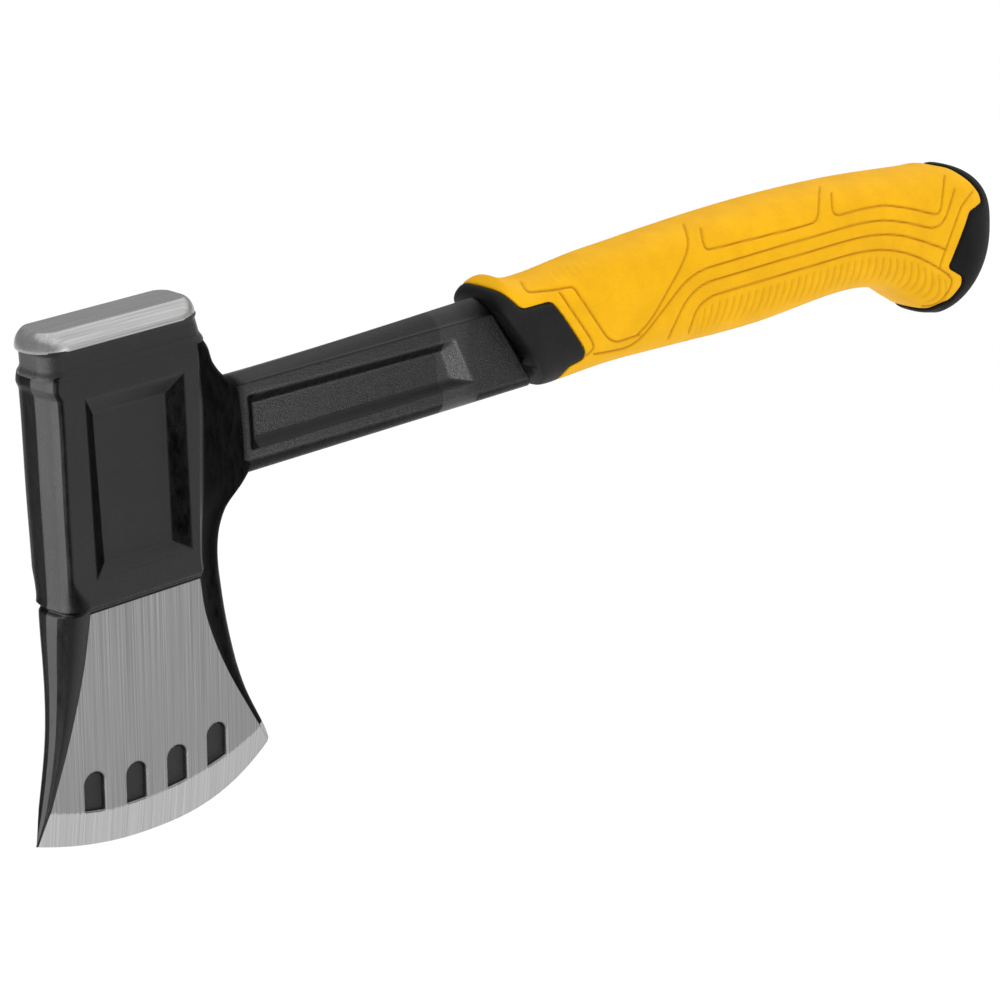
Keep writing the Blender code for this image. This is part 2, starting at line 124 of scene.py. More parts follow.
# Shank
SHANK_START_X = 31.0
SHANK_HALF = 5.2
SHANK_TOP_Z = -25.1
SHANK_CROWN = [(31.0, -24.9), (65.0, -24.2), (90.0, -23.5), (110.0, -22.9), (125.0, -22.6)]
SHANK_BOTTOM_Z = -51.0
SHANK_TOP_EDGE = [(31.0, -26.2), (125.0, -27.8)]
SHANK_LOW_EDGE = [(31.0, -45.6), (131.0, -47.1)]
SHANK_RIM_TOP = [(37.3, -29.2), (105.3, -30.6)]
SHANK_RIM_BOTTOM = [(37.3, -43.6), (111.4, -43.6)]
RECESS_START_X, RECESS_TOP_Z = SHANK_RIM_TOP[0]
RECESS_BOTTOM_Z = SHANK_RIM_BOTTOM[0][1]
RECESS_FRONT_RUN = 2.6
RECESS_END = (105.3, 111.4)  # x of the slanted rear end at its top and its bottom, at the rim
RECESS_FLOOR_END = (101.6, 106.2)
SHANK_FLOOR_TOP = [(39.6, -32.4), (103.6, -33.6)]
SHANK_FLOOR_BOTTOM = [(39.6, -41.4), (107.3, -41.9)]
SHANK_FLOOR_HALF = 3.1
THIN_SCALE = 0.3
PLAIN_END = (101.0, 113.0)  # stretch round the rear end of the recess where the coat has no scale
SHANK_END_X = 124.7
SHANK_SLANT = 0.59
SLANT_START_X = 110.5
TANG_END_X = 284.0
TANG_HALF = 3.0
TANG_CORNER = 0.8
TANG_HEIGHT = [(110.0, 17.0), (160.0, 17.0), (176.0, 12.0), (205.0, 12.0), (222.0, 17.0),
               (262.0, 15.0), (284.0, 12.0)]

# Grip
GRIP_START_X = 126.0
GRIP_AXIS_Z = -35.0
GRIP_END_X = 319.2
GRIP_END_Z = -41.0
BUTT_TOP_X = 290.0
BUTT_BOTTOM_X = 296.0
BUTT_SIDE_X = 299.0
BUTT_FINE_END = 306.0  # where the grooves of the butt end
BUTT_FULL = 2.0
BUTT_SLOPED = 1.75
GRIP_TOP = [(126.0, -18.0), (131.0, -18.3), (140.0, -20.9), (163.0, -18.9), (215.0, -17.0),
            (255.0, -18.0), (290.0, -21.0)]
GRIP_BOTTOM = [(126.0, -51.0), (160.0, -50.2), (215.0, -52.1), (250.0, -50.8), (264.0, -51.9),
               (273.5, -55.0), (282.0, -60.4), (289.0, -64.6), (295.5, -66.4)]
GRIP_HALF = [(126.0, 12.1), (140.0, 11.6), (150.0, 11.7), (200.0, 12.6), (255.0, 12.5), (290.0, 13.3)]
GRIP_SLANT = [(126.0, 0.58), (135.0, 0.54), (150.0, 0.34), (170.0, 0.0), (180.0, 0.0)]
GRIP_LIP = 3.6
GRIP_LIP_SIDE = 0.22
GRIP_LIP_BELOW = 0.12
GRIP_SQUARE = 2.7
CORE_SKIN = 3.2
CORE_START_X = 134.0
CORE_END_X = 296.0
GAP = 0.3
# Part lines of the mouldings, seen from the side: corner radius, then the line
COLLAR_EDGE = (1.6, [(115.0, -14.0), (120.4, -20.6), (124.8, -25.9), (136.2, -26.4), (147.0, -42.6),
                     (146.8, -44.7), (141.6, -45.7), (140.4, -47.6), (141.0, -56.0)])
BUTT_EDGE = (1.2, [(285.0, -14.0), (290.5, -19.6), (300.6, -22.6), (305.6, -27.2), (308.6, -31.4),
                   (308.5, -34.2), (301.2, -35.2), (291.5, -50.0), (298.0, -54.0), (298.6, -57.2),
                   (295.0, -61.2), (288.5, -63.6), (281.5, -62.2), (276.4, -58.6), (272.0, -63.0)])


# ---- helpers

def curve(points, at):
    """Smooth curve through (position, value) points, held constant past its ends."""
    rows = sorted(points)
    if at <= rows[0][0]:
        return rows[0][1]
    if at >= rows[-1][0]:
        return rows[-1][1]
    i = max(k for k in range(len(rows) - 1) if rows[k][0] <= at)
    width = rows[i + 1][0] - rows[i][0]
    t = (at - rows[i][0]) / width
    ends = []
    for k in (i, i + 1):
        before = rows[max(k - 1, 0)]
        after = rows[min(k + 1, len(rows) - 1)]
        ends.append((after[1] - before[1]) / (after[0] - before[0]) * width)
    low = rows[i][1]
    high = rows[i + 1][1]
    return (low * (2 * t**3 - 3 * t**2 + 1) + ends[0] * (t**3 - 2 * t**2 + t)
            + high * (3 * t**2 - 2 * t**3) + ends[1] * (t**3 - t**2))


def blend(low, high, t):
    return low + (high - low) * t


def line(points, at):
    """Straight line through two (position, value) points."""
    (a, low), (b, high) = points
    return blend(low, high, (at - a) / (b - a))


def link(item):
    bpy.context.scene.collection.objects.link(item)
    return item


def make_piece(name, mesh):
    """Object from a bmesh in metres."""
    bmesh.ops.recalc_face_normals(mesh, faces=mesh.faces)
    data = bpy.data.meshes.new(name)
    mesh.to_mesh(data)
    mesh.free()
    data.shade_smooth()
    return link(bpy.data.objects.new(name, data))


def boolean(item, operation, tool):
    """Cut a piece with a tool, or keep only what the two share."""
    step = item.modifiers.new("cut", "BOOLEAN")
    step.operation = operation
    step.solver = "MANIFOLD"
    step.object = tool
    graph = bpy.context.evaluated_depsgraph_get()
    data = bpy.data.meshes.new_from_object(item.evaluated_get(graph))
    item.modifiers.clear()
    item.data = data


# Every surface below is a grid of points, rows by columns, in millimetres.
SHARP_ANGLE = math.radians(58.0)  # creases steeper than this stay sharp


def soft_min(a, b, width):
    """The smaller of two values, with the corner between them rounded over a width."""
    mix = np.clip(0.5 + 0.5 * (b - a) / width, 0.0, 1.0)
    return b * (1 - mix) + a * mix - width * mix * (1 - mix)


def soft_clamp(value, width):
    """A value held between 0 and 1, with both corners rounded over a width."""
    return -soft_min(-soft_min(value, 1.0, width), 0.0, width)


def ease(value):
    """Smooth step from 0 to 1."""
    value = np.clip(value, 0.0, 1.0)
    return value * value * (3 - 2 * value)


def grid_mesh(name, points, attributes, finish=None):
    """Object from a grid of loops, its first and last loop closed by strips of quads."""
    rows, count = points.shape[:2]
    index = np.arange(rows * count).reshape(rows, count)
    after = np.roll(index, -1, axis=1)
    faces = np.stack([index[:-1], after[:-1], after[1:], index[1:]], axis=-1).reshape(-1, 4).tolist()
    for ring in (index[0], index[-1]):
        for i in range(count // 2):
            corners = [ring[i], ring[i + 1], ring[count - i - 1], ring[(count - i) % count]]
            faces.append([int(c) for c in dict.fromkeys(corners)])
    data = bpy.data.meshes.new(name)
    data.from_pydata((points.reshape(-1, 3) * MM).tolist(), [], faces)
    for key, values in attributes.items():
        layer = data.attributes.new(key, "FLOAT", "POINT")
        layer.data.foreach_set("value", values.astype(np.float32).ravel())
    if finish:
        data.materials.append(finish)
    mesh = bmesh.new()
    mesh.from_mesh(data)
    bmesh.ops.recalc_face_normals(mesh, faces=mesh.faces)
    mesh.to_mesh(data)
    mesh.free()
    data.shade_smooth()
    data.set_sharp_from_angle(angle=SHARP_ANGLE)
    return link(bpy.data.objects.new(name, data))


def mirror_rows(near, attributes):
    """Whole loops from near halves whose ends lie on the mid-plane.

    An attribute is one grid for both halves, or a near and a far one.
    """
    far = near[:, -2:0:-1] * np.array([1.0, -1.0, 1.0])
    whole = {}
    for key, values in attributes.items():
        near_values, far_values = values if isinstance(values, tuple) else (values, values)
        whole[key] = np.concatenate([near_values, far_values[:, -2:0:-1]], axis=1)
    return np.concatenate([near, far], axis=1), whole


def coated(near, forged, dull=None):
    """Whole loops and weights of a piece with no bare steel."""
    size = near.shape[:2]
    weights = {"bare": np.full(size, -1.0), "bevel": np.full(size, -2.0), "forged": forged}
    if dull is not None:
        weights["dull"] = dull
    return mirror_rows(near, weights)


# ---- materials

def new_material(name, colour, roughness, metallic, specular=0.5):
    made = bpy.data.materials.new(name)
    made.use_nodes = True
    shader = made.node_tree.nodes["Principled BSDF"]
    shader.inputs["Base Color"].default_value = (*colour, 1.0)
    shader.inputs["Roughness"].default_value = roughness
    shader.inputs["Metallic"].default_value = metallic
    shader.inputs["Specular IOR Level"].default_value = specular
    return made, made.node_tree, shader


def noise_at(tree, scale, stretch=(1.0, 1.0, 1.0), detail=3.0, rough=0.6):
    """Noise in the object's own coordinates, scale per metre, squeezed along each axis."""
    place = tree.nodes.new("ShaderNodeTexCoord")
    mapping = tree.nodes.new("ShaderNodeMapping")
    mapping.inputs["Scale"].default_value = stretch
    made = tree.nodes.new("ShaderNodeTexNoise")
    made.inputs["Scale"].default_value = scale
    made.inputs["Detail"].default_value = detail
    made.inputs["Roughness"].default_value = rough
    tree.links.new(place.outputs["Object"], mapping.inputs["Vector"])
    tree.links.new(mapping.outputs["Vector"], made.inputs["Vector"])
    return made.outputs["Fac"]


def remap(tree, source, low, high, to_low, to_high, smooth=False):
    made = tree.nodes.new("ShaderNodeMapRange")
    made.interpolation_type = "SMOOTHSTEP" if smooth else "LINEAR"
    made.inputs["From Min"].default_value = low
    made.inputs["From Max"].default_value = high
    made.inputs["To Min"].default_value = to_low
    made.inputs["To Max"].default_value = to_high
    tree.links.new(source, made.inputs["Value"])
    return made.outputs["Result"]


def feed(tree, socket, value):
    """Give a socket a constant, or link another socket to it."""
    if isinstance(value, bpy.types.NodeSocket):
        tree.links.new(value, socket)
    else:
        socket.default_value = (*value, 1.0) if isinstance(value, tuple) else value


def math_of(tree, operation, first, second):
    made = tree.nodes.new("ShaderNodeMath")
    made.operation = operation
    feed(tree, made.inputs[0], first)
    feed(tree, made.inputs[1], second)
    return made.outputs["Value"]


def attribute(tree, name):
    made = tree.nodes.new("ShaderNodeAttribute")
    made.attribute_name = name
    return made.outputs["Fac"]


def mix_of(tree, kind, sockets, factor, first, second):
    """Mix of two constants or sockets; sockets has the places of the two and of the result."""
    made = tree.nodes.new("ShaderNodeMix")
    made.data_type = kind
    feed(tree, made.inputs["Factor"], factor)
    feed(tree, made.inputs[sockets[0]], first)
    feed(tree, made.inputs[sockets[1]], second)
    return made.outputs[sockets[2]]


def mix_colour(tree, factor, first, second):
    return mix_of(tree, "RGBA", (6, 7, 2), factor, first, second)


def mix_value(tree, factor, first, second):
    return mix_of(tree, "FLOAT", (2, 3, 0), factor, first, second)


def stretched(tree, source, to_low, to_high, trim=0.3):
    """Noise stretched over a range, with a share of it trimmed off at each end."""
    return remap(tree, source, trim, 1.0 - trim, to_low, to_high)


def mottled(tree, source, first, second, trim=0.3):
    """Colour that follows the noise from the first to the second."""
    return mix_colour(tree, stretched(tree, source, 0.0, 1.0, trim), first, second)


def bump(tree, shader, height, distance, strength=1.0):
    """Bump of a height from 0 to 1, distance in metres."""
    made = tree.nodes.new("ShaderNodeBump")
    made.inputs["Strength"].default_value = strength
    made.inputs["Distance"].default_value = distance
    tree.links.new(height, made.inputs["Height"])
    tree.links.new(made.outputs["Normal"], shader.inputs["Normal"])


COAT = (0.026, 0.026, 0.027)


def forging_material():
    """Black satin coat, ground steel where bare is above 0, and dark scale by a weight of scale and painted
    shade.

    That weight is the dark, matt oxide skin of the web, which is also darkened there as painted shade, and
    painted shade on the hollows' walls, on the corners and the far half of the front face, round the ground
    steel, under the shank and in its recess.
    """
    made, tree, shader = new_material("forged_head_finish", COAT, 0.3, 0.0, 0.5)
    shader.inputs["Specular Tint"].default_value = (0.6, 0.6, 0.6, 1.0)
    grain = noise_at(tree, 2600.0, detail=4.0)
    pits = noise_at(tree, 520.0, (1.0, 1.0, 0.35), detail=4.0, rough=0.65)
    cloud = noise_at(tree, 60.0, detail=3.0)
    brushed = noise_at(tree, 1.0, (2600.0, 9.0, 9.0), detail=3.0, rough=0.7)
    strokes = noise_at(tree, 1.0, (900.0, 7.0, 7.0), detail=3.0, rough=0.6)
    waver = noise_at(tree, 1.0, (2400.0, 2400.0, 500.0), detail=2.0)

    bare = remap(tree, attribute(tree, "bare"), -0.10, 0.10, 0.0, 1.0, smooth=True)
    covered = remap(tree, bare, 0.0, 1.0, 1.0, 0.0)
    ragged = math_of(tree, "ADD", attribute(tree, "bevel"), stretched(tree, waver, -0.28, 0.28))
    bevel = remap(tree, ragged, -0.45, 0.35, 0.0, 1.0, smooth=True)
    forged = attribute(tree, "forged")
    # Weight of scale and painted shade, none where the steel is bare
    dull = math_of(tree, "MULTIPLY", attribute(tree, "dull"), covered)

    paint = mottled(tree, cloud, (0.004, 0.004, 0.0042), (0.006, 0.006, 0.0063), 0.35)
    # Dark scale colour, which also paints shade on the hollows' walls, the front face, the ground steel's
    # border and the shank
    scale = mottled(tree, pits, (0.002, 0.002, 0.002), (0.009, 0.009, 0.0095), 0.35)
    ground = mottled(tree, brushed, (0.165, 0.165, 0.166), (0.345, 0.345, 0.347))
    edge = mottled(tree, brushed, (0.33, 0.33, 0.332), (0.54, 0.54, 0.54))
    skin = mix_colour(tree, dull, paint, scale)
    metal = mix_colour(tree, bevel, ground, edge)
    tree.links.new(mix_colour(tree, bare, skin, metal), shader.inputs["Base Color"])
    # Metallic under that weight too, so the dark scale colour takes the reflections out there as painted
    # shade
    tree.links.new(math_of(tree, "MAXIMUM", bare, dull), shader.inputs["Metallic"])

    paint_rough = mix_value(tree, forged, stretched(tree, cloud, 0.27, 0.34), stretched(tree, pits, 0.3, 0.5))
    scale_rough = mix_value(tree, forged, stretched(tree, pits, 0.16, 0.24), stretched(tree, pits, 0.42, 0.6))
    skin_rough = mix_value(tree, dull, paint_rough, scale_rough)
    rough = mix_value(tree, bare, skin_rough, stretched(tree, strokes, 0.34, 0.46))
    tree.links.new(rough, shader.inputs["Roughness"])

    dust = math_of(tree, "MULTIPLY", grain, remap(tree, bare, 0.0, 1.0, 0.5, 0.0))
    pebbles = math_of(tree, "MULTIPLY", pits, math_of(tree, "MULTIPLY", forged, 0.9))
    lines = math_of(tree, "MULTIPLY", brushed, remap(tree, bare, 0.0, 1.0, 0.0, 0.04))
    height = math_of(tree, "ADD", math_of(tree, "ADD", dust, pebbles), lines)
    bump(tree, shader, height, 0.00025)
    return made


def cap_steel_material():
    """Bare steel brushed along the length of the poll."""
    made, tree, shader = new_material("poll_steel", (0.5, 0.5, 0.5), 0.33, 1.0)
    brushed = noise_at(tree, 1.0, (25.0, 2200.0, 2200.0), detail=4.0, rough=0.75)
    strokes = noise_at(tree, 1.0, (14.0, 600.0, 600.0), detail=3.0)
    colour = mottled(tree, brushed, (0.28, 0.28, 0.28), (0.46, 0.46, 0.456))
    tree.links.new(colour, shader.inputs["Base Color"])
    tree.links.new(stretched(tree, strokes, 0.27, 0.38), shader.inputs["Roughness"])
    bump(tree, shader, brushed, 0.00003, 0.8)
    return made


def rubber_material(name, low, high, roughness, pebble, shine=0.14):
    """Moulded grip plastic: fine pebble, soft clouding, and painted shade in its grooves."""
    made, tree, shader = new_material(name, low, roughness, 0.0, shine)
    cloud = noise_at(tree, 110.0, detail=5.0)
    pits = noise_at(tree, 1500.0, detail=3.0, rough=0.7)
    tint = mottled(tree, cloud, low, high, 0.35)
    speck = mix_colour(tree, remap(tree, pits, 0.25, 0.5, 0.25, 0.0), tint, tuple(0.82 * c for c in low))
    # Painted shade in the grooves and between the ribs, by the groove weight
    groove = remap(tree, attribute(tree, "groove"), 0.1, 0.9, 0.0, 0.85)
    deep = tuple(c * f for c, f in zip(low, (0.56, 0.44, 0.2)))
    tree.links.new(mix_colour(tree, groove, speck, deep), shader.inputs["Base Color"])
    tree.links.new(stretched(tree, pits, roughness - 0.06, roughness + 0.08), shader.inputs["Roughness"])
    bump(tree, shader, pits, pebble)
    return made


# ---- head and blade

FRONT_FACE_COLUMNS = 16
CORNER_COLUMNS = 14
CHEEK_COLUMNS = 150
BLADE_COLUMNS = 226
RAMP_COLUMNS = 26
RIM_COLUMNS = 12
CORNER_RADIUS = 1.5  # of the cheek's front edge
CORNER_BULGE = 0.2  # rise of the corner's curve, as a share of its width
RIDGE = 1.0  # how far the parting line stands out of the front face
# Lie of the front face from the parting line to its corner: (share of the way, share of the fall)
FRONT_FALL = [(0.0, 0.0), (0.5, 0.42), (0.8, 0.62), (1.0, 1.0)]


def down_walls(x, z):
    """How far each point of a row is down the hollow's walls, from 0 at the rim to 1 at the floor.

    The three values are for its front wall, its rear wall and the nearer of its two ends.
    """
    left = line(HOLLOW_LEFT, z)
    right = line(HOLLOW_RIGHT, z)
    front = (x - left) / (line(HOLLOW_FLOOR_LEFT, z) - left)
    rear = (right - x) / (right - line(HOLLOW_FLOOR_RIGHT, z))
    top = (HOLLOW_TOP_Z - z) / (HOLLOW_TOP_Z - HOLLOW_FLOOR_TOP_Z)
    bottom = (z - HOLLOW_BOTTOM_Z) / (HOLLOW_FLOOR_BOTTOM_Z - HOLLOW_BOTTOM_Z)
    return front, rear, min(top, bottom)


def hollow_depth(x, z):
    """Depth of the cheek hollow at points of one row, from 0 outside it to 1 on its floor."""
    front, rear, end = down_walls(x, z)
    return soft_clamp(soft_min(np.minimum(front, rear), end, 0.16), 0.07)


def near_row(front, land, flat_start, flat_end, half, rear, web, front_ridge, columns):
    """Near half of one section: front face, its corner, the flat side, the ramp and the rear rim."""
    corner_y = -land
    face = np.linspace(0.0, 1.0, FRONT_FACE_COLUMNS)
    face_x = front + front_ridge * np.array([curve(FRONT_FALL, f) for f in face])
    face_y = corner_y * face
    turn = np.linspace(0.0, 1.0, CORNER_COLUMNS + 1)[1:]
    start = np.array([face_x[-1], corner_y])
    knee = np.array([flat_start, -half])
    straight = start[None] + (knee - start)[None] * turn[:, None]
    bulge = np.sin(math.pi * turn) * np.hypot(*(knee - start)) * CORNER_BULGE
    outward = np.array([-(half - land), -(flat_start - face_x[-1])])
    outward = outward / max(np.hypot(*outward), 1e-6)
    rounded = straight + outward[None] * bulge[:, None]
    flat_x = np.linspace(flat_start, flat_end, columns + 1)[1:]
    ramp = np.linspace(0.0, 1.0, RAMP_COLUMNS + 1)[1:]
    ramp_end = max(rear - WEB_SHOULDER, flat_end + 0.4)
    ramp_x = flat_end + (ramp_end - flat_end) * ramp
    ramp_y = -(web + (half - web) * (1 - ramp) ** 1.6)
    rim = np.linspace(0.0, math.pi / 2, RIM_COLUMNS + 1)[1:]
    rim_x = ramp_end + (rear - ramp_end) * np.sin(rim)
    rim_y = -web * np.cos(rim)
    x = np.concatenate([face_x, rounded[:, 0], flat_x, ramp_x, rim_x])
    y = np.concatenate([face_y, rounded[:, 1], np.full_like(flat_x, -half), ramp_y, rim_y])
    y[-1] = 0.0
    return x, y


BEFORE_FLAT = FRONT_FACE_COLUMNS + CORNER_COLUMNS
FLAT = slice(BEFORE_FLAT, -(RAMP_COLUMNS + RIM_COLUMNS))
AFTER_FLAT = slice(-(RAMP_COLUMNS + RIM_COLUMNS), None)


def with_front_shade(dull, fade):
    """Weights of scale and painted shade of the near and the far half, with painted shade on the front face
    and its corners added.

    Painted shade covers both corners as dark lines, and the front face on the far side of the parting line.
    """
    corner = np.linspace(0.0, 1.0, CORNER_COLUMNS)
    near = np.zeros(dull.shape)
    if fade:
        near[:, FRONT_FACE_COLUMNS:BEFORE_FLAT] = 0.9 * (1 - ease(corner / 0.7))
        near[:, FRONT_FACE_COLUMNS - 3:FRONT_FACE_COLUMNS] = 0.9
    else:
        middle = (1 - ease((corner - 0.55) / 0.45)) * ease(corner / 0.12)
        near[:, FRONT_FACE_COLUMNS:BEFORE_FLAT] = 0.9 * middle
    far = near.copy()
    far[:, :FRONT_FACE_COLUMNS] = 1.0
    return np.maximum(dull, near), np.maximum(dull, far)


def block_section(z, inset=0.0):
    """Near half of the head block at one height."""
    narrowed = float(ease((NOTCH_Z + 0.9 - z) / 1.5))
    spread = float(ease((SPREAD_Z - z) / (SPREAD_Z - CHEEK_END_Z)))
    half = curve(CHEEK_HALF, z) - inset
    land = blend(half - CORNER_RADIUS, 6.3, spread)
    land = blend(land, curve(LAND_HALF, STEP_Z), narrowed)
    notch = 0.6 * math.exp(-(((z - NOTCH_Z) / 0.45) ** 2))
    front = curve(FRONT_LINE, z) + inset + notch
    flat_start = blend(front + CORNER_RADIUS + RIDGE, curve(BLADE_FRONT, STEP_Z), spread)
    step = float(ease((CHEEK_END_Z - z) / (CHEEK_END_Z - STEP_Z)))
    half = blend(half, BLADE_HALF_TOP, step)
    rear = curve(REAR_LINE, z) - inset
    web = min(curve(WEB_HALF, z), half - 0.6)
    x, y = near_row(front, land, flat_start, curve(CHEEK_REAR, z), half, rear, web, RIDGE,
                    CHEEK_COLUMNS)
    depth = (curve(CHEEK_HALF, z) - HOLLOW_FLOOR_HALF) * hollow_depth(x, z)
    y = np.where(y < -HOLLOW_FLOOR_HALF, y + depth, y)
    y[0] = 0.0
    return np.stack([x, y, np.full_like(x, z)], axis=1)


def bowed(x, toe_z, heel_z, mid_z, toe_x, heel_x, skew_share=0.0):
    """Height at x of a curve that bows down between the toe and the heel."""
    t = (x - toe_x) / (heel_x - toe_x)
    bow = 1 - np.abs(2 * t - 1) ** EDGE_SWEEP
    skew = skew_share * EDGE_SKEW * t * (1 - t) * (1 - 2 * t)
    return blend(toe_z, heel_z, t) + (mid_z - (toe_z + heel_z) / 2) * bow + skew


def bevel_z(x):
    """Height of the bevel line at x."""
    toe, heel, mid = BEVEL_LINE
    return bowed(x, toe, heel, mid, curve(FRONT_LINE, toe), curve(REAR_LINE, heel))


def slot_inside(x, z):
    """Distance in from the nearest slot's outline, in mm, negative outside every slot."""
    best = np.full_like(x, -9.0)
    for k in range(SLOT_COUNT):
        centre = SLOT_FIRST_X + k * SLOT_PITCH
        radius = SLOT_WIDTH / 2
        foot = bevel_z(centre)
        spring = foot + SLOT_HEIGHT - radius * 0.9
        body = radius - np.abs(x - centre)
        arch = radius - np.hypot(x - centre, (np.maximum(z - spring, 0.0)) * 1.12)
        inside = np.where(z > spring, arch, body)
        inside = np.minimum(inside, z - bevel_z(x) - 0.25)
        best = np.maximum(best, inside)
    return best


def blade_section(v):
    """Near half of the blade: v runs from 0 at the step to 1 at the bevel line and 2 at the edge."""
    ground = min(v, 1.0)
    past = max(v - 1.0, 0.0)
    toe, heel, mid = (blend(blend(STEP_Z, bevel, ground), edge, past)
                      for bevel, edge in zip(BEVEL_LINE, EDGE_LINE))
    half = blend(blend(BLADE_HALF_TOP, BLADE_HALF_BEVEL, ground), EDGE_HALF, past)
    front = curve(FRONT_LINE, toe)
    rear = curve(REAR_LINE, heel) - 0.5 * past ** 5
    land = min(curve(LAND_HALF, toe), half * 0.9)
    flat_start = min(curve(BLADE_FRONT, toe), front + 8.1)
    flat_end = min(curve(CHEEK_REAR, heel), rear - 0.5)
    web = blend(curve(WEB_HALF, STEP_Z), 0.62 * half, ground) if v < 1 else 0.62 * half
    x, y = near_row(front, land, flat_start, flat_end, half, rear, min(web, 0.9 * half),
                    RIDGE * blend(0.9, 0.25, ground), BLADE_COLUMNS)
    z = bowed(x, toe, heel, mid, front, rear, past)
    inside = slot_inside(x, z)
    y = y + np.where(y < -0.5, SLOT_DEPTH * ease(inside / 0.7 + 0.4), 0.0)
    bare = np.full_like(x, -1.0)
    bare[FLAT] = np.minimum(1.0, (STEP_Z - 0.5 - z[FLAT]))
    bare[FLAT] = np.minimum(bare[FLAT], x[FLAT] - flat_start - 0.2)
    bare[FLAT] = np.minimum(bare[FLAT], flat_end - x[FLAT] - 0.1)
    bare = np.minimum(bare, -inside)
    beyond = bevel_z(np.clip(x, front, rear)) - z
    ends = np.minimum(beyond, 1.0)
    ends[:FLAT.start] = -1.0
    bare = np.maximum(bare, ends)
    bevel = np.clip(beyond, -2.0, 2.0)
    return np.stack([x, y, z], axis=1), np.clip(bare, -1.0, 1.0), bevel


def forged_weight(x, z):
    """How rough the forged skin is: full on the web behind the cheek, none on the cheek."""
    return ease((x - curve(CHEEK_REAR, z) - 0.5) / 2.0)


def hollow_wall_shade(x, z):
    """1 on the front and rear walls of the cheek hollow, where they are darkened as painted shade."""
    front, rear, end = down_walls(x, z)
    on_front = np.minimum(np.minimum(front + 0.05, 1.0 - front), end - front)
    on_rear = np.minimum(np.minimum(rear, 0.97 - rear), end - rear)
    return np.maximum(ease(0.5 + on_front / 0.16), ease(0.5 + on_rear / 0.16))


def head_block(finish):
    """Poll block and cheeks, down to the step above the blade."""
    heights = list(np.arange(LEDGE_Z - 1.2, STEP_Z, -0.4)) + [STEP_Z]
    close = np.arange(STEP_Z + 0.1, NOTCH_Z + 1.4, 0.2)
    heights += [z for z in close if min(abs(z - h) for h in heights) > 0.05]
    heights.sort(reverse=True)
    rows = [block_section(LEDGE_Z - 0.02, LEDGE_INSET)]
    for turn in np.linspace(0.0, math.pi / 2, 6)[:-1]:
        drop = LEDGE_RADIUS * (1 - math.cos(turn))
        rows.append(block_section(LEDGE_Z - drop, LEDGE_RADIUS * (1 - math.sin(turn))))
    near = np.array(rows + [block_section(z) for z in heights])
    forged = np.array([forged_weight(row[:, 0], row[0, 2]) for row in near])
    walls = np.array([hollow_wall_shade(row[:, 0], row[0, 2]) for row in near])
    walls[:, AFTER_FLAT] = 0.0
    # Painted shade on the hollow's walls, and the web's scale, which is partly painted shade too
    dull = np.maximum(walls, ease(forged * 1.4))
    return grid_mesh("head_block", *coated(near, forged, with_front_shade(dull, False)), finish)


def blade(finish):
    """Blade from the step to the edge, its ground sides and bevel marked bare."""
    steps = [0.0, 0.004, 0.008, 0.014, 0.02, 0.028] + list(np.linspace(0.036, 1.0, 118))
    steps += list(1.0 + np.linspace(0.0, 1.0, 22)[1:])
    near, bare, bevel = (np.array(group) for group in zip(*(blade_section(v) for v in steps)))
    behind = np.zeros(bare.shape)
    behind[:, AFTER_FLAT] = 1.0
    forged = 0.35 * behind
    # Scale on the web behind the flat, partly painted shade, and a painted shadow line round the ground steel
    # and just inside the slots' outlines
    dull = np.maximum(behind, ease(1 - (np.abs(bare + 0.34) / 0.4)))
    weights = {"bare": bare, "bevel": bevel, "forged": forged, "dull": with_front_shade(dull, True)}
    return grid_mesh("blade", *mirror_rows(near, weights), finish)


# ---- poll

CAP_ROWS = 46
ARC_POINTS = 19
END_POINTS = 6
SIDE_POINTS = 88


def half_loop(front, rear, width, corner, z):
    """Near half of a rounded rectangle, from the middle of its front to the middle of its rear."""
    half = width / 2
    corner = min(corner, half)
    arc = np.linspace(0.0, math.pi / 2, ARC_POINTS)
    ends = np.linspace(0.0, 1.0, END_POINTS + 1)[:-1]
    side = np.linspace(0.0, 1.0, SIDE_POINTS + 2)[1:-1]
    x = np.concatenate([np.full(END_POINTS, front), front + corner * (1 - np.cos(arc)),
                        blend(front + corner, rear - corner, side),
                        rear - corner * (1 - np.sin(arc)), np.full(END_POINTS, rear)])
    y = np.concatenate([-(half - corner) * ends, -(half - corner) - corner * np.sin(arc),
                        np.full(SIDE_POINTS, -half),
                        -(half - corner) - corner * np.cos(arc), -(half - corner) * (1 - ends) * 0.999])
    y[[0, -1]] = 0.0
    return np.stack([x, y, np.full_like(x, z)], axis=1)


def striking_cap(steel):
    """Flat striking face and the rounded rim around it."""
    rows = []
    for share in (0.25, 0.6, 0.85):
        rows.append(half_loop(-FACE_LENGTH / 2 * share - 2, FACE_LENGTH / 2 * share + 2,
                              FACE_WIDTH * share, FACE_CORNER * share, 0.0))
    reach = (CAP_LENGTH - FACE_LENGTH) / 2
    travelled = [0.0]
    for a, b in zip(CAP_RIM, CAP_RIM[1:]):
        travelled.append(travelled[-1] + math.hypot((b[0] - a[0]) * reach, b[1] - a[1]))
    out = [(s, point[0]) for s, point in zip(travelled, CAP_RIM)]
    height = [(s, point[1]) for s, point in zip(travelled, CAP_RIM)]
    for s in np.linspace(0.0, travelled[-1], CAP_ROWS):
        grow = curve(out, s)
        length = blend(FACE_LENGTH, CAP_LENGTH, grow)
        width = blend(FACE_WIDTH, CAP_WIDTH, grow)
        corner = blend(FACE_CORNER, CAP_WIDTH / 2 - 0.05, grow)
        rows.append(half_loop(-length / 2, length / 2, width, corner, curve(height, s)))
    return grid_mesh("striking_cap", *mirror_rows(np.array(rows), {}), steel)


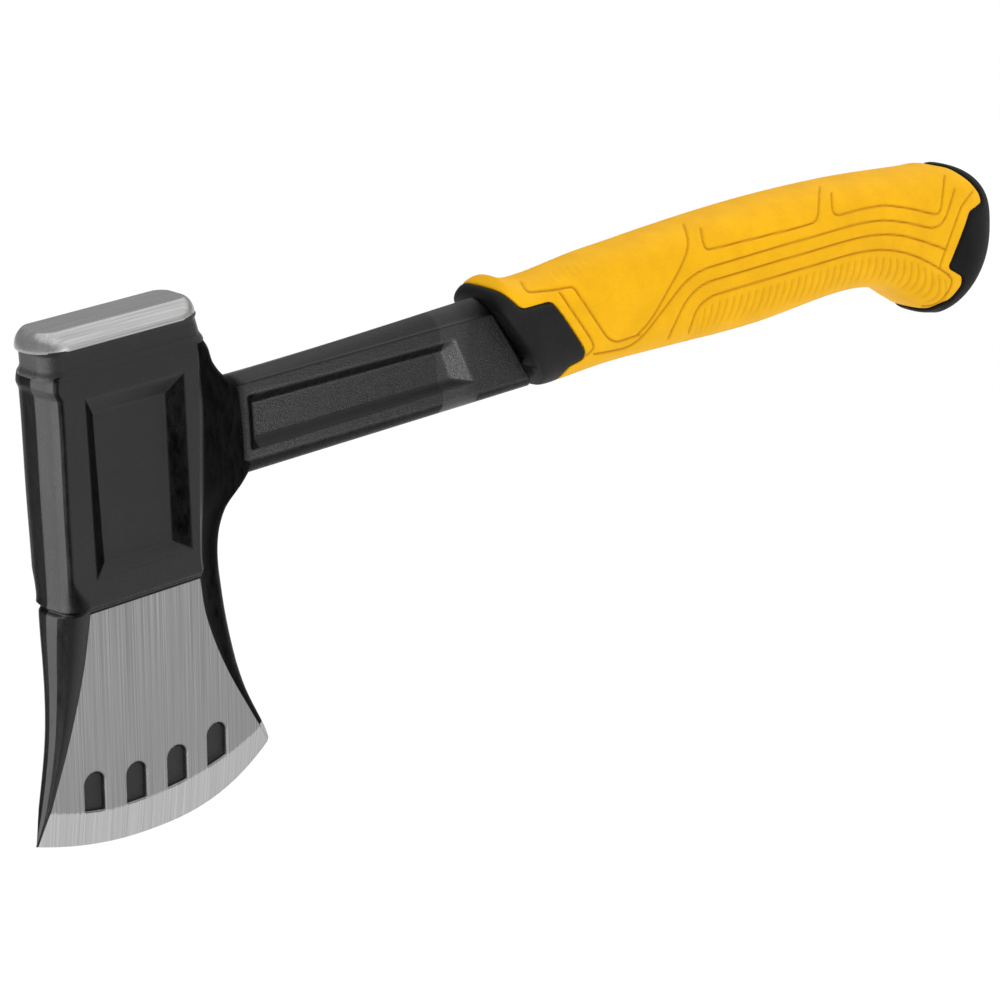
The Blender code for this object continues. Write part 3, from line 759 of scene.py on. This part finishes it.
def neck(finish):
    """Waist under the cap, flared into the ledge."""
    rows = []
    for z in np.linspace(NECK_REAR[0][0], LEDGE_Z - 1.0, 22):
        flare = float(ease((-z - 8.9) / 2.2)) * 0.7
        under = float(ease((z + 5.6) / 1.3)) * 0.6
        grow = flare + under
        rear = curve(NECK_REAR, z)
        rows.append(half_loop(NECK_FRONT - grow, rear + grow, NECK_WIDTH + 2 * grow, NECK_CORNER + grow, z))
    near = np.array(rows)
    return grid_mesh("neck", *coated(near, np.full(near.shape[:2], 0.15)), finish)


# ---- shank

def shank_recess(x, z):
    """Depth of the side recess at points of one section, from 0 to 1."""
    top = line(SHANK_RIM_TOP, x)
    bottom = line(SHANK_RIM_BOTTOM, x)
    floor_top = line(SHANK_FLOOR_TOP, x)
    floor_bottom = line(SHANK_FLOOR_BOTTOM, x)
    from_top = (top - z) / (top - floor_top)
    from_bottom = (z - bottom) / (floor_bottom - bottom)
    from_front = (x - RECESS_START_X) / RECESS_FRONT_RUN
    share = (z - RECESS_TOP_Z) / (RECESS_BOTTOM_Z - RECESS_TOP_Z)
    end = blend(*RECESS_END, share)
    from_end = (end - x) / (end - blend(*RECESS_FLOOR_END, share))
    up = soft_min(from_top, from_bottom, 0.2)
    along = soft_min(from_end, np.full_like(z, from_front), 0.2)
    return soft_clamp(soft_min(up, along, 0.25), 0.14)


def shank_section(x, slant):
    """Near half of the shank's section: crowned top, flat side with its recess, rounded foot."""
    top_edge = line(SHANK_TOP_EDGE, x)
    low_edge = line(SHANK_LOW_EDGE, x)
    half = SHANK_HALF - 0.35 * (1 - float(ease((x - SHANK_START_X) / 7.0)))
    u = np.linspace(0.0, 1.0, 15)[:-1]
    crown_y = -half * 0.93 * u
    shoulder = SHANK_TOP_Z + 0.72 * (top_edge - SHANK_TOP_Z)
    crown_z = blend(curve(SHANK_CROWN, x), shoulder, 0.86 * u ** 2 + 0.14 * u)
    turn = np.linspace(0.0, math.pi / 2, 8)[:-1]
    radius = 0.07 * half
    edge_y = -half * 0.93 - radius * np.sin(turn)
    edge_z = crown_z[-1] - 0.08 - radius * 1.6 * (1 - np.cos(turn))
    side_z = np.linspace(edge_z[-1] - 0.12, low_edge, 64)
    side_y = np.full_like(side_z, -half)
    foot = np.linspace(0.0, 1.0, 19)[1:]
    foot_y = -half * (1 - foot ** 1.55 * 0.62 - 0.38 * foot)
    foot_z = low_edge - (low_edge - SHANK_BOTTOM_Z) * np.sin(foot * math.pi / 2) ** 0.9
    y = np.concatenate([crown_y, edge_y, side_y, foot_y])
    z = np.concatenate([crown_z, edge_z, side_z, foot_z])
    y[[0, -1]] = 0.0
    y = y + np.where(y < -0.7 * half, (SHANK_HALF - SHANK_FLOOR_HALF) * shank_recess(x, z), 0.0)
    return np.stack([x - slant * (z - GRIP_AXIS_Z), y, z], axis=1)


def shank(finish):
    """The shank, closed behind its slanted end, where the grip starts."""
    rows = []
    for x in np.arange(SHANK_START_X, SHANK_END_X - 0.4, 0.42):
        slant = SHANK_SLANT * float(ease((x - SLANT_START_X) / (SHANK_END_X - SLANT_START_X)))
        rows.append(shank_section(x, slant))
    last = rows[-1]
    mid_z = (SHANK_TOP_Z + SHANK_BOTTOM_Z) / 2
    for inset, ahead in ((0.12, 0.2), (0.4, 0.42), (1.6, 0.45)):
        shrunk = last.copy()
        shrunk[:, 1] *= 1 - inset / SHANK_HALF
        shrunk[:, 2] = mid_z + (last[:, 2] - mid_z) * (1 - inset / 13.0)
        shrunk[:, 0] = last[:, 0] + ahead - SHANK_SLANT * (shrunk[:, 2] - last[:, 2])
        rows.append(shrunk)
    near = np.array(rows)
    x = near[:, :, 0]
    z = near[:, :, 2]
    forged = 0.25 + 0.6 * (1 - ease((x - 34.0) / 8.0))
    return grid_mesh("shank", *coated(near, forged, shank_scale_shade_weights(x, near[:, :, 1] < -2.0, z)), finish)


def shank_scale_shade_weights(x, on_side, z):
    """Weights of scale and painted shade: thin scale on the sides, full scale at the head, and painted shade
    under the shank and on the recess walls.
    """
    # Painted shade below the shank's lower edge
    dull = THIN_SCALE + 0.6 * ease((line(SHANK_LOW_EDGE, x) - z) / 1.2)
    start, end = PLAIN_END
    plain = np.minimum(dull, THIN_SCALE * ease((x - (start + end) / 2) / 6.0))
    dull = np.where((x > start) & (x < end), plain, dull)
    dull = np.maximum(dull, 1 - ease((x - 34.0) / 5.0))
    # Painted shade on the recess's upper wall
    top = line(SHANK_RIM_TOP, x)
    down = (top - z) / (top - line(SHANK_FLOOR_TOP, x))
    upper_wall = 0.85 * ease(down / 0.3) * ease((1.15 - down) / 0.3)
    dull = np.maximum(dull, np.where((x > RECESS_START_X - 0.3) & (x < 102.5) & on_side, upper_wall, 0.0))
    # Painted shade on the recess's front wall
    back = (x - RECESS_START_X) / RECESS_FRONT_RUN
    front_wall = ease(back / 0.2 + 0.5) * ease((1.1 - back) / 0.2)
    return np.maximum(dull, np.where((z < top - 0.2) & (z > RECESS_BOTTOM_Z) & on_side, front_wall, 0.0))


def tang(name, grow, first_x, finish=None):
    """The waisted tang; grow widens it for the space around it."""
    turn = np.linspace(0.0, math.pi / 2, 5)
    across = TANG_CORNER * np.sin(turn)
    along = TANG_CORNER * np.cos(turn)
    wide = TANG_HALF + grow - TANG_CORNER
    y = np.concatenate([[0.0], -wide - across, -wide - along, [0.0]])
    rows = []
    for x in (first_x, *np.arange(118.0, TANG_END_X - 1.0, 3.0), TANG_END_X + grow):
        high = curve(TANG_HEIGHT, x) / 2 + grow
        flat = high - TANG_CORNER
        z = np.concatenate([[high], flat + along, -flat - across, [-high]])
        rows.append(np.stack([np.full_like(y, x), y, z + GRIP_AXIS_Z], axis=1))
    near = np.array(rows)
    return grid_mesh(name, *coated(near, np.zeros(near.shape[:2])), finish)


# ---- grip

SECTION_COLUMNS = 224
OUTLINE_STEPS = 1440
# The grooves are laid out on a side plane and carried to the curved skin along lines that fan out
# from a point this far out from the plane, ahead of the origin and above it
LAYOUT_Y = -11.0
LAYOUT_REACH = 664.0
LAYOUT_BACK = 463.0
LAYOUT_ABOVE = 230.0
GROOVE_HALF = 0.34
GROOVE_DEPTH = 0.45
ROLL_RADIUS = 0.9  # how wide and how deep the skin rolls in beside a part line
ROLL_DEPTH = 0.55
CAP_PROUD = 0.35  # how far the butt cap stands out of the sleeve

# Grooves of the sleeve's side: corner radius, then the line, (x, z) on the layout plane
FRONT_GROOVE = (1.6, [(124.5, -17.6), (126.9, -21.4), (136.7, -22.9), (143.4, -23.4), (155.2, -40.6),
                      (158.2, -42.6), (167.2, -42.5)])
COLLAR_GROOVE = (1.6, [(138.5, -24.0), (149.3, -39.6), (150.3, -42.4), (147.2, -43.7)])
SHOULDER_GROOVE = (5.0, [(184.7, -14.5), (186.6, -19.2), (186.4, -22.5), (183.6, -27.0), (171.6, -39.6),
                         (166.2, -42.4)])
PANEL_GROOVE = (2.6, [(191.4, -17.5), (192.9, -24.2), (232.7, -25.5), (238.2, -25.2), (239.0, -15.2)])
REAR_PANEL_GROOVE = (3.2, [(243.8, -18.0), (244.3, -25.2), (255.6, -25.4), (266.1, -26.2),
                           (276.9, -29.4), (290.2, -34.4), (292.2, -22.6)])
FIRST_CONTOUR = (7.0, [(150.0, -44.0), (155.0, -44.6), (165.8, -45.3), (187.6, -29.4), (221.0, -29.3),
                       (255.5, -29.4), (266.1, -30.6), (276.8, -33.8), (291.0, -39.2), (296.6, -27.7)])
SECOND_CONTOUR = (8.0, [(178.0, -46.0), (187.6, -33.4), (221.0, -33.4), (255.4, -33.6), (266.0, -34.8),
                        (276.6, -37.8), (293.0, -45.3)])
THIRD_CONTOUR = (8.0, [(185.8, -46.2), (190.6, -37.6), (221.0, -37.7), (255.4, -37.9), (266.0, -39.4),
                       (276.6, -42.9), (286.0, -47.9), (294.2, -53.4)])
RIM_GROOVE = (2.6, [(293.4, -53.0), (296.0, -55.4), (293.0, -59.3), (287.5, -61.4), (281.6, -60.2)])
BUTT_GROOVE = (1.2, [(304.6, -30.0), (299.6, -33.4), (289.6, -50.2), (294.0, -53.4)])
GROOVES = [FRONT_GROOVE, COLLAR_GROOVE, SHOULDER_GROOVE, PANEL_GROOVE, REAR_PANEL_GROOVE,
           FIRST_CONTOUR, SECOND_CONTOUR, THIRD_CONTOUR, RIM_GROOVE, BUTT_GROOVE]
RIB_LEAN = [(200.0, -0.15), (255.0, -0.05), (290.0, 0.35)]  # sideways run per mm down from the contour
RIB_PITCH = 2.9
RIB_DEPTH = 0.3
RIB_START_X = 176.0
RIB_END_X = 296.0
# Where the ribs run out, below the contour
RIB_FOOT = [(200.0, 10.5), (262.0, 10.5), (285.0, 14.8)]
BROW_RIB_PITCH = 2.5


def grip_size(x):
    """Top, bottom and half width of the grip at x, with the lip and the butt rounded."""
    top = curve(GRIP_TOP, x)
    bottom = curve(GRIP_BOTTOM, x)
    half = curve(GRIP_HALF, x)
    lip = max(0.0, 1 - (x - GRIP_START_X) / GRIP_LIP / 1.25)
    inset = GRIP_LIP * (1 - math.sqrt(max(0.0, 1 - lip**2)))
    top = GRIP_END_Z + (top - GRIP_END_Z) * rounding(x, BUTT_TOP_X, BUTT_FULL)
    bottom = GRIP_END_Z + (bottom - GRIP_END_Z) * rounding(x, BUTT_BOTTOM_X, BUTT_SLOPED)
    half *= rounding(x, BUTT_SIDE_X, BUTT_FULL)
    return top - inset, bottom + inset * GRIP_LIP_BELOW, half - inset * GRIP_LIP_SIDE


def rounding(x, start, power):
    """Falls from 1 at start to 0 at the butt."""
    t = max(0.0, (x - start) / (GRIP_END_X - start))
    return (1 - t**power) ** (1 / power)


def grip_section(x, skin=0.0, columns=SECTION_COLUMNS):
    """Superelliptic section of the grip, its points evenly spaced from the middle of its top."""
    top, bottom, half = grip_size(x)
    centre = (top + bottom) / 2
    high = (top - bottom) / 2 - skin
    wide = half - skin
    angle = np.linspace(0.5 * math.pi, 2.5 * math.pi, OUTLINE_STEPS + 1)
    c = np.cos(angle)
    s = np.sin(angle)
    y = wide * np.copysign(np.abs(c) ** (2 / GRIP_SQUARE), c)
    z = centre + high * np.copysign(np.abs(s) ** (2 / GRIP_SQUARE), s)
    run = np.concatenate([[0.0], np.cumsum(np.hypot(np.diff(y), np.diff(z)))])
    at = np.linspace(0.0, run[-1], columns + 1)[:-1]
    y = np.interp(at, run, y)
    z = np.interp(at, run, z)
    lean = curve(GRIP_SLANT, x)
    nose = float(ease((136.0 - x) / 10.0))
    brow = 0.11 * np.maximum(0.0, z + 26.0) ** 2 - 1.6 * ease((z + 38.0) / 10.0)
    return np.stack([x - lean * (z - GRIP_AXIS_Z) + nose * brow, y, z], axis=1)


def rounded_line(radius, points):
    """Open line with each corner replaced by a short curve that starts a radius away from it."""
    corners = [np.array(point, float) for point in points]
    made = [corners[0]]
    for before, corner, after in zip(corners, corners[1:], corners[2:]):
        back = before - corner
        ahead = after - corner
        start = corner + back * min(0.5, radius / np.hypot(*back))
        end = corner + ahead * min(0.5, radius / np.hypot(*ahead))
        for t in np.linspace(0.0, 1.0, 7):
            made.append((1 - t) ** 2 * start + 2 * t * (1 - t) * corner + t * t * end)
    return np.array([*made, corners[-1]])


def distance_to(line_points, x, z):
    """Distance from each point to an open line, in mm."""
    best = np.full(x.shape, 99.0)
    for a, b in zip(line_points, line_points[1:]):
        run = b - a
        length = max(float(run @ run), 1e-9)
        near = (x > min(a[0], b[0]) - 3) & (x < max(a[0], b[0]) + 3)
        if not near.any():
            continue
        t = np.clip(((x[near] - a[0]) * run[0] + (z[near] - a[1]) * run[1]) / length, 0.0, 1.0)
        gap = np.hypot(x[near] - a[0] - t * run[0], z[near] - a[1] - t * run[1])
        best[near] = np.minimum(best[near], gap)
    return best


def rib_profile(x, z):
    """Height share, 0 to 1, cut away between the ribs under the third contour."""
    contour = rounded_line(*THIRD_CONTOUR)
    above = np.interp(x, contour[:, 0], contour[:, 1], left=-46.2)
    below = np.maximum(above - z, 0.0)
    lean = np.interp(x, *zip(*RIB_LEAN))
    phase = (x - lean * below + 0.0042 * below ** 3) / RIB_PITCH
    wave = 0.5 - 0.5 * np.cos(2 * math.pi * phase)
    inside = ease((below - 1.1) / 1.6) * ease((x - RIB_START_X - 0.5 * below) / 4.0)
    inside = inside * ease((RIB_END_X - x) / 5.0) * ease((np.interp(x, *zip(*RIB_FOOT)) - below) / 3.5)
    front = ease((x - 184.0) / 10.0)
    return wave ** 2 * inside * (0.35 + 0.65 * front)


def brow_ribs(x, z):
    """Faint slanting ribs on the rise behind the collar, from 0 to 1."""
    wave = 0.5 - 0.5 * np.cos(2 * math.pi * (x + 0.9 * (z + 18.0)) / BROW_RIB_PITCH)
    inside = ease((x - 133.0) / 3.0) * ease((151.0 - x) / 3.0)
    return wave ** 2 * inside * ease((z + 22.0) / 2.0) * ease((-14.0 - z) / 2.0)


def grip_skin(stations, detailed):
    """Grid of grip points, how deep each lies in a groove, from 0 to 1, which also weights the painted shade
    in the grooves, and the outward normals.
    """
    points = np.array([grip_section(x) for x in stations])
    normal = np.cross(np.gradient(points, axis=1), np.gradient(points, axis=0))
    normal /= np.maximum(np.linalg.norm(normal, axis=2, keepdims=True), 1e-9)
    middle = points.mean(axis=1, keepdims=True)
    if float(((points - middle) * normal).sum()) < 0:
        normal = -normal
    if not detailed:
        return points, np.zeros(points.shape[:2]), normal
    side = np.abs(points[..., 1])
    reach = LAYOUT_REACH / (LAYOUT_REACH - LAYOUT_Y - side)
    x = (points[..., 0] + LAYOUT_BACK) * reach - LAYOUT_BACK
    z = (points[..., 2] - LAYOUT_ABOVE) * reach + LAYOUT_ABOVE
    groove = np.zeros(points.shape[:2])
    flank = ease((side - 1.5) / 2.5)
    for one in GROOVES:
        gap = distance_to(rounded_line(*one), x, z)
        groove = np.maximum(groove, np.exp(-(gap / GROOVE_HALF) ** 2))
    groove = groove * flank
    ribs = np.maximum(rib_profile(x, z), 0.5 * brow_ribs(x, z)) * flank
    points = points - normal * (GROOVE_DEPTH * groove + RIB_DEPTH * ribs)[..., None]
    # The groove weight, with part of the ribs' depth, also sets the painted shade
    return points, np.maximum(groove, 0.42 * ribs), normal


def zone(name, outline):
    """Block across the grip with this side outline (x, z), as a cutter."""
    mesh = bmesh.new()
    near, far = ([mesh.verts.new((x * MM, y * MM, z * MM)) for x, z in outline] for y in (-30.0, 30.0))
    for i in range(len(outline)):
        j = (i + 1) % len(outline)
        mesh.faces.new((near[i], near[j], far[j], far[i]))
    mesh.faces.new(near)
    mesh.faces.new(list(reversed(far)))
    return make_piece(name, mesh)


def shifted(outline, away):
    """Open outline moved sideways by a distance, to its right as it is walked."""
    moved = []
    for i, (x, z) in enumerate(outline):
        before = outline[max(i - 1, 0)]
        after = outline[min(i + 1, len(outline) - 1)]
        run = math.hypot(after[0] - before[0], after[1] - before[1])
        moved.append((x + (after[1] - before[1]) / run * away, z - (after[0] - before[0]) / run * away))
    return moved


def front_zone(name, away):
    """Everything ahead of the collar's part line."""
    edge = shifted([tuple(p) for p in rounded_line(*COLLAR_EDGE)], -away)
    return zone(name, [*edge, (100.0, edge[-1][1]), (100.0, edge[0][1])])


def rear_zone(name, away):
    """Everything behind the butt cap's part line."""
    edge = shifted([tuple(p) for p in rounded_line(*BUTT_EDGE)], away)
    return zone(name, [*edge, (edge[-1][0], -80.0), (340.0, -80.0), (340.0, edge[0][1])])


def core_space():
    """The pocket round the core."""
    between = np.arange(CORE_START_X + 4.0, CORE_END_X - 2.0, 6.0)
    stations = [CORE_START_X - GAP, *between, CORE_END_X + GAP]
    return grid_mesh("cut_core_space", np.array([grip_section(x, CORE_SKIN - GAP, 64) for x in stations]), {})


def grip_piece(name, stations, detailed, edges, finish, proud=0.0):
    """Skin of the grip over a run of stations, rolled in beside its part lines."""
    points, groove, normal = grip_skin(stations, detailed)
    roll = np.zeros(points.shape[:2])
    for edge in edges:
        gap = distance_to(rounded_line(*edge), points[..., 0], points[..., 2])
        gap = np.clip(gap / ROLL_RADIUS, 0.0, 1.0)
        roll = np.maximum(roll, 1 - np.sqrt(gap * (2 - gap)))
    points = points - normal * (ROLL_DEPTH * roll - proud)[..., None]
    return grid_mesh(name, points, {"groove": groove}, finish)


def even_stations(start, end, pitch):
    return list(np.arange(start, end, pitch))


def lip_stations():
    """Steps over the rounded front lip."""
    return [GRIP_START_X + GRIP_LIP * 1.25 * (1 - math.cos(a)) for a in np.linspace(0.06, math.pi / 2, 16)]


def butt_stations(start):
    """Even steps over the grooves, then steps that shrink towards the butt."""
    angle = math.asin((BUTT_FINE_END - BUTT_TOP_X) / (GRIP_END_X - BUTT_TOP_X))
    rounded = [BUTT_TOP_X + (GRIP_END_X - BUTT_TOP_X) * math.sin(a)
               for a in np.linspace(angle, math.radians(88.5), 46)]
    return even_stations(start, BUTT_FINE_END - 0.1, 0.36) + rounded


def grip(yellow, black, cap_black):
    """Collar, sleeve and butt cap, each cut from the grip's skin along its part lines."""
    pocket = core_space()
    hole = tang("cut_tang_space", GAP, 100.0)
    lip = lip_stations()

    collar = grip_piece("front_collar", lip + even_stations(131.0, 152.0, 0.45), False, [COLLAR_EDGE], black)
    ahead = front_zone("zone_collar", 0.0)
    boolean(collar, "INTERSECT", ahead)

    body = even_stations(130.8, BUTT_TOP_X, 0.5) + butt_stations(BUTT_TOP_X)[1:]
    sleeve = grip_piece("grip_sleeve", lip + body, True, [COLLAR_EDGE, BUTT_EDGE], yellow)
    cut_ahead = front_zone("cut_collar_zone", GAP)
    cut_behind = rear_zone("cut_butt_zone", GAP)

    rear = even_stations(258.0, BUTT_TOP_X, 0.5) + butt_stations(BUTT_TOP_X)[1:]
    cap = grip_piece("butt_cap", rear, False, [BUTT_EDGE], cap_black, CAP_PROUD)
    behind = rear_zone("zone_butt", 0.0)
    boolean(cap, "INTERSECT", behind)

    for piece, tool in ((collar, pocket), (collar, hole), (sleeve, cut_ahead), (sleeve, cut_behind),
                        (sleeve, pocket), (cap, pocket)):
        boolean(piece, "DIFFERENCE", tool)
    for tool in (pocket, hole, ahead, cut_ahead, cut_behind, behind):
        bpy.data.objects.remove(tool, do_unlink=True)
    return collar, sleeve, cap


# ---- stage

CAMERA_AT = (-0.463033, -0.674754, 0.229714)
CAMERA_AXES = ((0.74379, -0.66694, -0.04424), (0.25049, 0.21676, 0.94354), (-0.6197, -0.71288, 0.32829))
LENS = 126.0
FLOOR_REACH = 6.0
FLOOR_DROP = 0.35  # the hatchet is shown hanging above the floor, clear of its shadow


def add_camera():
    data = bpy.data.cameras.new("camera")
    data.lens = LENS
    data.sensor_width = 36.0
    data.clip_start = 0.05
    data.clip_end = 20.0
    item = bpy.data.objects.new("camera", data)
    turn = Matrix(CAMERA_AXES).transposed().to_4x4()
    item.matrix_world = Matrix.Translation(CAMERA_AT) @ turn
    bpy.context.scene.camera = link(item)


def reflected_card(name, at, towards, width, height, power, pieces):
    """Bright card that only shows as a reflection, and only in these pieces."""
    item = area_light(name, at, towards, width, height, power)
    item.visible_diffuse = False
    lit = bpy.data.collections.new(name + "_lit")
    for piece in pieces:
        lit.objects.link(piece)
    item.light_linking.receiver_collection = lit


def area_light(name, at, towards, width, height, power):
    data = bpy.data.lights.new(name, "AREA")
    data.shape = "RECTANGLE"
    data.size = width
    data.size_y = height
    data.energy = power
    item = bpy.data.objects.new(name, data)
    item.location = at
    item.rotation_euler = (Vector(towards) - Vector(at)).to_track_quat("-Z", "Y").to_euler()
    return link(item)


def sun(strength):
    """Broad overhead light that evens out the floor."""
    data = bpy.data.lights.new("sky_panel", "SUN")
    data.energy = strength
    data.angle = math.radians(120.0)
    item = bpy.data.objects.new("sky_panel", data)
    item.rotation_euler = Vector((0.3, -0.25, 0.92)).to_track_quat("Z", "Y").to_euler()
    link(item)


def add_floor():
    """Pale floor under the toe of the blade."""
    mesh = bmesh.new()
    corners = ((-1, -1), (1, -1), (1, 1), (-1, 1))
    mesh.faces.new([mesh.verts.new((x * FLOOR_REACH, y * FLOOR_REACH, 0.0)) for x, y in corners])
    item = make_piece("floor", mesh)
    item.location = (0.0, 0.0, CAD_BOX[0][2] - FLOOR_DROP)
    made, tree, shader = new_material("floor_white", (0.93, 0.93, 0.93), 0.9, 0.0, 0.1)
    tint = mix_colour(tree, noise_at(tree, 4.0), (0.92, 0.92, 0.92), (0.95, 0.95, 0.95))
    tree.links.new(tint, shader.inputs["Base Color"])
    item.data.materials.append(made)


def add_world():
    world = bpy.data.worlds.new("studio")
    world.use_nodes = True
    back = world.node_tree.nodes["Background"]
    back.inputs["Color"].default_value = (1.0, 1.0, 1.0, 1.0)
    back.inputs["Strength"].default_value = 0.45
    bpy.context.scene.world = world
    bpy.context.scene.view_settings.view_transform = "Standard"


# ---- assembly

coat = forging_material()
steel = cap_steel_material()
yellow = rubber_material("soft_sleeve_finish", (0.79, 0.40, 0.0), (0.87, 0.45, 0.001), 0.55, 0.00013, 0.12)
black = rubber_material("collar_finish", (0.006, 0.006, 0.0064), (0.010, 0.010, 0.0104), 0.5, 0.00008)
cap_black = rubber_material("cap_finish", (0.006, 0.006, 0.0064), (0.008, 0.008, 0.0084), 0.55, 0.00006, 0.06)

forging = [head_block(coat), blade(coat), neck(coat), striking_cap(steel), shank(coat),
           tang("tang", 0.0, 112.0, coat)]
poll, handle = forging[3:5]
collar, sleeve, cap = grip(yellow, black, cap_black)
placed = [(piece, "forged_head", "coated_steel") for piece in forging]
placed += [(collar, "front_collar", "black_polymer"), (sleeve, "grip_sleeve", "soft_sleeve"),
           (cap, "butt_cap", "cap_polymer")]
for piece, cad_node, slot_name in placed:
    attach(piece, "root")
    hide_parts(cad_node)

core_finish = rubber_material("core_finish", (0.03, 0.03, 0.032), (0.04, 0.04, 0.042), 0.5, 0.00005)
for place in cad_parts["grip_core"].material_slots:
    place.material = core_finish

add_floor()
add_world()
add_camera()
reflected_card("left_card", (-0.85, 0.12, -0.085), (0.0, 0.12, -0.085), 1.5, 0.77, 18.0,
               [piece for piece in forging if piece != poll])
area_light("front_panel", (0.12, -1.25, -0.1), (0.1, 0.0, -0.04), 0.5, 0.6, 2.1)
reflected_card("low_card", (0.16, -0.43, -0.30), (0.104, 0.0, -0.035), 0.16, 0.16, 2.0, [handle])
sun(2.2)
